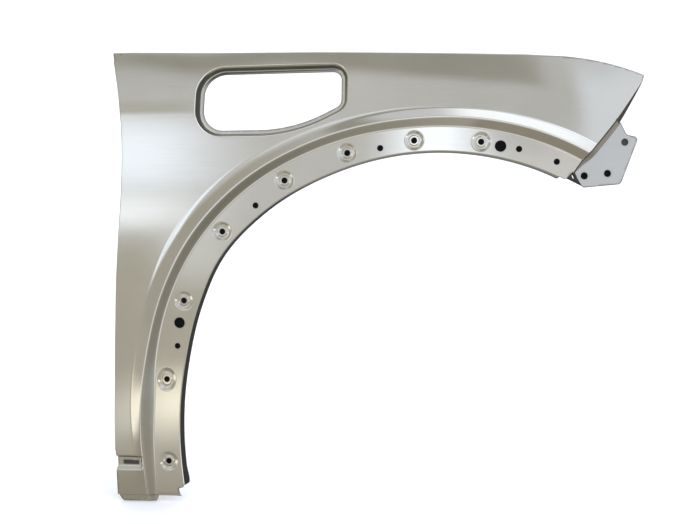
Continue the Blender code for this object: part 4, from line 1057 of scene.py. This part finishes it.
def panel_painted_shade_and_highlight(x, z):
    """Painted shade on the step wall, the vent's wall and the folds, and painted highlights along the arch's
    bends and the vent's rim.
    """
    angle, radius = polar(x, z)
    width = band("step", angle)
    across = radius - band("arch", angle) - band("flange", angle)
    step = fade(across, -0.05 * width, 0.2 * width) * (1 - fade(across, 0.8 * width, 1.05 * width))
    sunk = -vent_height(x, z) / VENT_DEPTH
    along_share = (x - VENT_LEFT) / (VENT_RIGHT - VENT_LEFT)
    up_share = (z - VENT_BOTTOM) / (VENT_TOP - VENT_BOTTOM)
    # Painted shade on the vent's sunken wall, darker along its top and left sides
    turned = VENT_WALL_PAINTED_SHADE + VENT_UPPER_LEFT_PAINTED_SHADE * fade(up_share - 0.6 * along_share, -0.1, 0.25)
    wall = fade(sunk, 0.1, 0.35) * (1 - fade(sunk, 0.75, 1.0))
    # Painted shade lines along the tab's fold and the joggle groove's upper wall
    fold = -tab_height(z) / TAB_STEP
    groove = rise(JOGGLE_TOP - z, JOGGLE_WALL, 1.0, JOGGLE_ROUND) * (x < JOGGLE_END_X)
    dark = band("step painted shade", angle) * step + turned * wall
    dark = dark + FOLD_PAINTED_SHADE * 4 * fold * (1 - fold) + GROOVE_PAINTED_SHADE * 4 * groove * (1 - groove)
    # Painted highlights along the bends at the foot and top of the step wall, along the flare's edge over the
    # upper arch,
    # and along the vent's rim; none at the rear foot
    flare_end = across - width - band("flare", angle)
    upper = 0.45 * fade(angle, 50, 60) + 0.55 * fade(angle, 74, 86)
    painted_highlight = (bump_at(across, BEND_HIGHLIGHT) + bump_at(across - width, BEND_HIGHLIGHT)
            + bump_at(flare_end, FLARE_HIGHLIGHT) * upper)
    rim = bump_at(sunk - 0.02, 0.08) * (sunk > 0.001)
    return np.minimum(dark, 1.0), np.minimum(painted_highlight + VENT_RIM_HIGHLIGHT_SHARE * rim, 1.0) * fade(angle, -20, -8)


def make_panel():
    place, faces = fill_blank(panel_outline(), cut_loops(), seat_rings() + vent_rings(),
                              arch_lines() + body_lines(), FILL_STEP)
    sheet = drawn(place, faces, outboard, panel_painted_shade_and_highlight)
    add_panel_flanges(sheet)
    return shell("fender_skin", sheet, SHEET, [h[:3] for h in all_holes()])


def plate_depth(x):
    return PLATE_Y + PLATE_TURN_IN_SHARE * (x - PLATE_X)


def plate_point(shares):
    return FRONT_CORNER_X + shares[0] * PLATE_LENGTH, FRONT_CORNER_Z + shares[1] * PLATE_HEIGHT


def seam_point(station, offset):
    """Point beside the panel's front edge at a share of the way down."""
    z = NOSE_Z - station * (NOSE_Z - FRONT_CORNER_Z)
    x = np.interp(z, FRONT_LINE[:, 1], FRONT_LINE[:, 0])
    nx, nz = front_outward(x, z)
    return x + nx * offset, z + nz * offset


SEAM_STATIONS = along(SEAM_START_SHARE, SEAM_END_SHARE, SEAM_STEPS)


def strip_width(station):
    low = fade(station, SEAM_TAPER_SHARE, SEAM_END_SHARE)
    return STRIP_WIDTH * (1 + (STRIP_END_SHARE - 1) * low)


def plate_seam():
    return [seam_point(s, SEAM_OFFSET + strip_width(s)) for s in SEAM_STATIONS]


def plate_outline():
    seam = plate_seam()
    corners = [(plate_point(shares), radius) for shares, radius in PLATE_CORNERS]
    corners = [(seam[-1], 0), *corners, (seam[0], 0)]
    return [tuple(p) for p in rounded(corners, closed=False)][:-1] + seam[:-1]


def wall_ends():
    """Ends of the side wall's lower edge on the plate, and of its top behind the panel's corner."""
    heel = np.array(plate_outline()[1])
    seam = np.array(plate_seam()[-1])
    top_low = np.array((FRONT_CORNER_X, FRONT_CORNER_Z + WALL_TOP_INSET))
    return heel, seam, top_low, top_low + np.array((0.0, WALL_TOP_WIDTH))


def plate_lean(x, z, nx, nz):
    return atan(PLATE_TURN_IN_SHARE * nx)


def add_weld_flange(sheet):
    """Strip that slopes up from the plate, and the flange along the panel's return."""
    seam = np.array(plate_seam())

    def nearest(x, z):
        gap = np.hypot(*(seam - (x, z)).T)
        return int(gap.argmin()), gap.min()

    def inward(x, z):
        nx, nz = front_outward(*seam_point(SEAM_STATIONS[nearest(x, z)[0]], 0.0))
        return -nx, -nz

    def pieces(x, z):
        station = SEAM_STATIONS[nearest(x, z)[0]]
        climb = plate_depth(x) - depth_at(*seam_point(station, 0.0))
        slope = -atan((1 - STRIP_RISE_SHARE) * climb / strip_width(station))
        turns = (("bend", FOLD_ROUND, slope, 4), ("bend", FOLD_ROUND, -pi / 2, 4))
        lean = plate_lean(x, z, *inward(x, z))
        width = (strip_width(station) - section_steps(lean, turns)[-1][0]) / cos(slope)
        strip = (turns[0], ("straight", width, slope, 2), turns[1])
        height = climb - WELD_SET_BACK + section_steps(lean, strip)[-1][1]
        return *strip, ("straight", height, -pi / 2, 2)

    chain = sheet.chain(lambda x, z: nearest(x, z)[1] < BORDER_TOLERANCE, lambda x, z: nearest(x, z)[0])
    add_flange(sheet, chain, inward, pieces, None, plate_lean)


def wall_point(foot, top, row):
    """Place and direction on the side wall: first its fold, then straight up to its top."""
    run = np.hypot(*(top - foot))
    nx, nz = (top - foot) / run
    climb = depth_at(*top) + SHEET + 2 * SEAM_GAP - plate_depth(foot[0])
    lean = plate_lean(*foot, nx, nz)
    angle = atan2(climb, run)

    def fold(turn):
        return FOLD_ROUND * (sin(lean) - sin(turn)), FOLD_ROUND * (cos(turn) - cos(lean))

    for _ in range(6):
        bend = fold(angle)
        angle = atan2(climb - bend[1], run - bend[0])
    length = hypot(climb - bend[1], run - bend[0]) * max(0.0, row - FOLD_SPAN) / (WALL_SPAN - FOLD_SPAN)
    turned = lean + (angle - lean) * min(row / FOLD_SPAN, 1.0)
    out, inboard = fold(turned)
    out += length * cos(turned)
    inboard += length * sin(turned)
    place = (foot[0] + nx * out, plate_depth(foot[0]) + inboard, foot[1] + nz * out)
    return place, (nx * sin(turned), -cos(turned), nz * sin(turned))


def add_side_wall(sheet):
    """Wall that closes the rear end of the bracket, with its slot."""
    heel, seam, top_low, top_high = wall_ends()
    reach = np.hypot(*(seam - heel))
    way = (seam - heel) / reach

    def station(x, z):
        return ((x, z) - heel) @ way

    def on_foot(x, z):
        t = station(x, z)
        off = np.hypot(*((x, z) - heel - way * t))
        return off < BORDER_TOLERANCE and -BORDER_TOLERANCE < t < reach + BORDER_TOLERANCE

    foot = sheet.chain(on_foot, station)
    stations = np.array([station(sheet.place[i][0], sheet.place[i][2]) for i in foot])
    outline = [(t, 0.0) for t in stations] + [(reach, WALL_SPAN), (0.0, WALL_SPAN)]
    u, v = 0.45 * reach, FOLD_SPAN + 0.42 * (WALL_SPAN - FOLD_SPAN)
    half, low = WALL_SLOT_LENGTH / 2, WALL_SLOT_HEIGHT / 2
    slot = rounded([((u + a * half, v + b * low), 0.8 * low) for a, b in ((-1, -1), (1, -1), (1, 1), (-1, 1))])
    folds = [level_line(0.0, reach, FOLD_SPAN * k / 4) for k in (1, 2, 3, 4)]
    place, faces = fill_blank(outline, [slot], [], folds, 3.0)
    number = {}
    for i in np.unique(faces):
        t, row = place[i]
        near = int(np.abs(stations - t).argmin())
        if row < MERGE and abs(stations[near] - t) < BORDER_TOLERANCE:
            number[i] = foot[near]
        else:
            spot = wall_point(heel + way * t, top_low + (top_high - top_low) * t / reach, row)
            # The side wall is painted almost black as painted shade
            number[i] = sheet.add(*spot, WALL_PAINTED_SHADE)
    sheet.join(faces, number, lambda i: sheet.out[i])


def make_bracket():
    holes = [(*plate_point(s), PLATE_HOLE_RADIUS) for s in PLATE_HOLE_SHARES]
    cuts = [circle(*hole, 32) for hole in holes]
    sheet = drawn(*fill_blank(plate_outline(), cuts, [], [], FILL_STEP), lambda x, z: -plate_depth(x))
    add_weld_flange(sheet)
    add_side_wall(sheet)
    return shell("bracket_steel", sheet, BRACKET_SHEET, holes)


def make_hole_shade_cards():
    """Painted shade seen through the holes: small black cards just behind the round holes, and grey ones
    behind the slot and the top plate hole.
    """
    def card(x, z, radius, depth, thickness):
        return circle(x, z, radius + SHADE_CARD_EDGE, HOLE_SIDES), depth, thickness

    verts, faces = [], []
    holes = [card(x, z, r, depth_at, SHEET) for x, z, r, _ in all_holes()]
    top, *low = [card(*plate_point(s), PLATE_HOLE_RADIUS, lambda x, z: plate_depth(x), BRACKET_SHEET)
                 for s in PLATE_HOLE_SHARES]
    rings = [(joggle_slot(SHADE_CARD_EDGE), depth_at, SHEET), top] + holes + low
    for ring, depth, thickness in rings:
        first = len(verts)
        verts += [(x, depth(x, z) + thickness + SHADE_CARD_GAP, z) for x, z in ring]
        faces.append(list(range(first, len(verts))))
    item = piece("hole_shade_cards", verts, faces)
    mesh = item.data
    mesh.materials.append(paper("grey_hole_shade_card", (0.055, 0.052, 0.045), 0.02))
    mesh.materials.append(paper("black_hole_shade_card", (0.006, 0.006, 0.005), 0.02))
    for i, face in enumerate(mesh.polygons):
        face.material_index = min(i // 2, 1)
    return item


class Nodes:
    """Short way to write a node tree."""

    def __init__(self, tree):
        self.tree = tree

    def add(self, kind, inputs=(), output=0, **values):
        """Output of a new node, after its properties and its inputs, which are values or other outputs."""
        node = self.tree.nodes.new("ShaderNode" + kind)
        for key, value in values.items():
            setattr(node, key, value)
        for key, value in dict(inputs).items():
            self.set(node.inputs[key], value)
        return node.outputs[output]

    def set(self, socket, value):
        if isinstance(value, bpy.types.NodeSocket):
            self.tree.links.new(value, socket)
        elif isinstance(value, tuple) and socket.type == "RGBA":
            socket.default_value = (*value, 1.0)
        else:
            socket.default_value = value

    def noise(self, vector, scale, detail=2.0, rough=0.5):
        inputs = {"Vector": vector, "Scale": scale, "Detail": detail, "Roughness": rough}
        return self.add("TexNoise", inputs, "Fac")

    def span(self, value, low, high, new_low, new_high, curve="LINEAR"):
        inputs = {"Value": value, "From Min": low, "From Max": high, "To Min": new_low, "To Max": new_high}
        return self.add("MapRange", inputs, "Result", interpolation_type=curve)

    def math(self, operation, first, second):
        return self.add("Math", {0: first, 1: second}, operation=operation)

    def mix(self, factor, first, second):
        return self.add("Mix", {0: factor, 6: first, 7: second}, 2, data_type="RGBA")

    def bump(self, height, strength, distance, inputs=()):
        inputs = {"Strength": strength, "Distance": distance, "Height": height, **dict(inputs)}
        return self.add("Bump", inputs, "Normal")


def material_nodes(name):
    """New material with its nodes, its shader's inputs and the object's own coordinates."""
    material = bpy.data.materials.new(name)
    material.use_nodes = True
    nodes = Nodes(material.node_tree)
    shader = material.node_tree.nodes["Principled BSDF"].inputs
    return material, nodes, shader, nodes.add("TexCoord", (), "Object")


def steel(name, light, shade, dark, rough_low, rough_high, metallic):
    """Satin silver-beige steel: cloudy tone, fine grain, rolled streaks, painted shade on the rims and in the
    dark zones, painted highlights on the bends.
    """
    material, nodes, shader, place = material_nodes(name)
    cloud = nodes.noise(place, 9.0, 3.0, 0.55)
    stretched = nodes.add("Mapping", {"Vector": place, "Scale": (3.0, 3.0, 90.0)}, "Vector")
    streak = nodes.noise(stretched, 6.0, 3.0, 0.6)
    grain = nodes.noise(place, 1400.0, 2.0, 0.6)
    wave = nodes.noise(place, 14.0, 1.0, 0.4)
    edge, painted_highlight, mark = (nodes.add("Attribute", (), "Fac", attribute_name=n) for n in ("edge", "painted_highlight", "dark"))
    tone = nodes.math("ADD", nodes.span(cloud, 0.3, 0.7, -0.35, 0.35), nodes.span(streak, 0.3, 0.7, 0.3, 0.7))
    tone = nodes.math("ADD", tone, nodes.span(grain, 0.3, 0.7, -0.08, 0.08))
    colour = nodes.mix(nodes.span(tone, 0.0, 1.0, 0.0, 1.0), shade, light)
    # Painted shade: the cut edges darken toward a near-black colour
    rim = nodes.math("MULTIPLY", nodes.math("POWER", edge, 2.5), 0.9)
    colour = nodes.mix(rim, colour, (0.09, 0.086, 0.075))
    # Painted highlight: the bends' highlight mark lightens the colour
    colour = nodes.mix(nodes.math("MULTIPLY", painted_highlight, 0.75), colour, (0.80, 0.79, 0.75))
    # Painted shade: where the dark mark is set the colour goes to the dark colour, and below the steel turns
    # rougher and less metallic
    nodes.set(shader["Base Color"], nodes.mix(mark, colour, dark))
    rough = nodes.span(nodes.math("ADD", cloud, nodes.math("MULTIPLY", grain, 0.5)), 0.55, 1.0,
                       rough_low, rough_high)
    rough = nodes.math("ADD", rough, nodes.math("MULTIPLY", nodes.math("MULTIPLY", mark, mark), 0.45))
    nodes.set(shader["Roughness"], rough)
    normal = nodes.bump(wave, 0.05, 0.002, {"Normal": nodes.bump(grain, 0.004, 0.0002)})
    nodes.set(shader["Normal"], normal)
    nodes.set(shader["Metallic"], nodes.span(mark, 0.6, 1.0, metallic, 0.5))
    shader["Specular IOR Level"].default_value = 0.25
    return material


def paper(name, colour, gloss=0.1):
    """Matt seamless paper with a faint fibre."""
    material, nodes, shader, place = material_nodes(name)
    fibre = nodes.noise(place, 60.0, 3.0, 0.6)
    low = tuple(c * 0.985 for c in colour)
    nodes.set(shader["Base Color"], nodes.mix(nodes.span(fibre, 0.3, 0.7, 0.0, 1.0), low, colour))
    shader["Roughness"].default_value = 0.9
    shader["Specular IOR Level"].default_value = gloss
    return material


def make_sweep():
    """Pale floor that curves up behind the object."""
    low = cad_box[0][2] - SWEEP_GAP
    profile = [(SWEEP_FRONT, low), (SWEEP_BACK, low)]
    for a in along(0, pi / 2, 16)[1:]:
        profile.append((SWEEP_BACK + SWEEP_RADIUS * sin(a), low + SWEEP_RADIUS * (1 - cos(a))))
    profile.append((SWEEP_BACK + SWEEP_RADIUS, low + SWEEP_HEIGHT))
    count = len(profile)
    mesh = bpy.data.meshes.new("studio_sweep")
    mesh.from_pydata([(x, y, z) for x in SWEEP_SIDES for y, z in profile], [],
                     [(i, count + i, count + i + 1, i + 1) for i in range(count - 1)])
    mesh.shade_smooth()
    mesh.materials.append(paper("sweep_paper", (0.93, 0.905, 0.86)))
    item = put("studio_sweep", mesh)
    item.visible_glossy = False
    return item


# Studio room: softboxes and darker walls as azimuth and elevation of the middle, half sizes and soft edges in
# degrees, and colour. Azimuth runs to the right from straight ahead of the panel. The tilted ones slope down
# to the right.
ROOM_COLOUR = (0.95, 1.01, 1.15)
ROOM_GAIN = 1.25
ROOM_TILT = 0.42
ROOM = (
    ((-16, 14, 16, 22, 14, 8), (1.05, 1.11, 1.24)),
    ((-30, 26, 12, 5, 3, 3), (0.88, 0.92, 0.98)),
    ((-110, 10, 77, 55, 6, 4), (0.71, 0.72, 0.70)),
    ((0, -50, 400, 47.4, 1, 1.5), (0.79, 0.79, 0.76)),
    ((-44, -60, 34, 35, 4, 2), (0.54, 0.52, 0.48)),
    ((-60, 60, 79, 25, 7, 3.5), (0.57, 0.585, 0.58), ROOM_TILT),
    ((0, 90, 400, 35, 1, 3), (1.15, 1.24, 1.46)),
    ((52.5, 80, 39, 20, 10, 4), (2.15, 2.36, 2.85), ROOM_TILT),
    ((52, 10, 20, 26, 4.5, 14), (1.32, 1.48, 1.82)),
    ((19, 2, 12, 3.6, 3, 1.2), (1.24, 1.31, 1.48)),
    ((-16.5, -4, 2.5, 2.2, 1.5, 1.5), (1.22, 1.30, 1.46)),
    ((-25, 5.4, 9, 3.1, 4.5, 1.9), (2.0, 2.28, 2.9)),
    ((-25.5, 0.1, 8.7, 1.4, 4.5, 0.9), (2.1, 2.32, 2.8)),
    ((3.7, 6, 4, 6, 4, 2), (2.35, 2.65, 3.3)),
    ((-24, -18.5, 6, 2.2, 2, 2), (1.12, 1.14, 1.18)),
    ((-18, -17.2, 2.6, 2.0, 2.4, 2.1), (2.5, 2.5, 2.4)),
    ((-58, -17.5, 16, 6.5, 6, 4), (2.1, 2.1, 2.05)),
    ((40, -10, 28, 3, 4, 2), (2.6, 2.8, 3.2)),
    ((140, 10, 42, 55, 8, 8), (0.19, 0.185, 0.17)),
    ((180, 10, 5, 50, 3, 8), (0.33, 0.325, 0.31)),
    ((-180, 10, 20, 50, 8, 8), (0.33, 0.325, 0.31)),
)


def make_world():
    """The room lights and mirrors in the steel, while the camera sees plain white behind the paper."""
    world = bpy.data.worlds.new("studio")
    bpy.context.scene.world = world
    world.use_nodes = True
    nodes = Nodes(world.node_tree)
    shade = world.node_tree.nodes["Background"].inputs
    x, y, z = (nodes.add("SeparateXYZ", {0: nodes.add("TexCoord", (), "Generated")}, axis) for axis in "XYZ")
    azimuth = nodes.math("DIVIDE", nodes.math("ARCTAN2", x, nodes.math("MULTIPLY", y, -1.0)), DEG)
    elevation = nodes.math("DIVIDE", nodes.math("ARCSINE", z, 0.0), DEG)
    colour = ROOM_COLOUR
    for (az, el, half_az, half_el, soft_az, soft_el), tint, *tilt in ROOM:
        level = nodes.math("ADD", elevation, nodes.math("MULTIPLY", azimuth, tilt[0])) if tilt else elevation
        masks = []
        for value, middle, half, soft in ((azimuth, az, half_az, soft_az), (level, el, half_el, soft_el)):
            off = nodes.math("ABSOLUTE", nodes.math("SUBTRACT", value, middle), 0.0)
            masks.append(nodes.span(off, half - soft, half + soft, 1.0, 0.0, "SMOOTHSTEP"))
        colour = nodes.mix(nodes.math("MULTIPLY", *masks), colour, tint)
    seen = nodes.add("LightPath", (), "Is Camera Ray")
    nodes.set(shade["Color"], nodes.mix(seen, colour, (1 / ROOM_GAIN,) * 3))
    shade["Strength"].default_value = ROOM_GAIN


def make_camera():
    data = bpy.data.cameras.new("camera")
    data.sensor_fit = "HORIZONTAL"
    data.sensor_width = SENSOR
    data.lens = LENS
    data.clip_start = 0.01
    item = put("camera", data)
    item.location = CAMERA_PLACE
    item.rotation_euler = Vector(CAMERA_FORWARD).to_track_quat("-Z", "Y").to_euler()
    bpy.context.scene.camera = item


make_camera()
panel = make_panel()
# dark: the colour of the painted shade zones
panel.data.materials.append(steel("satin_steel", light=(0.385, 0.360, 0.300), shade=(0.352, 0.329, 0.270),
                                  dark=(0.035, 0.032, 0.026), rough_low=0.075, rough_high=0.12, metallic=0.93))
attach(panel, "root")
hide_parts("fender_panel")
bracket = make_bracket()
# dark: the colour of the painted shade zones
bracket.data.materials.append(steel("bracket_satin", light=(0.355, 0.338, 0.292), shade=(0.322, 0.306, 0.264),
                                    dark=(0.035, 0.034, 0.030), rough_low=0.30, rough_high=0.38, metallic=0.9))
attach(bracket, "root")
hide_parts("front_bracket")
make_sweep()
make_hole_shade_cards()
make_world()
bpy.context.scene.view_settings.view_transform = "Standard"
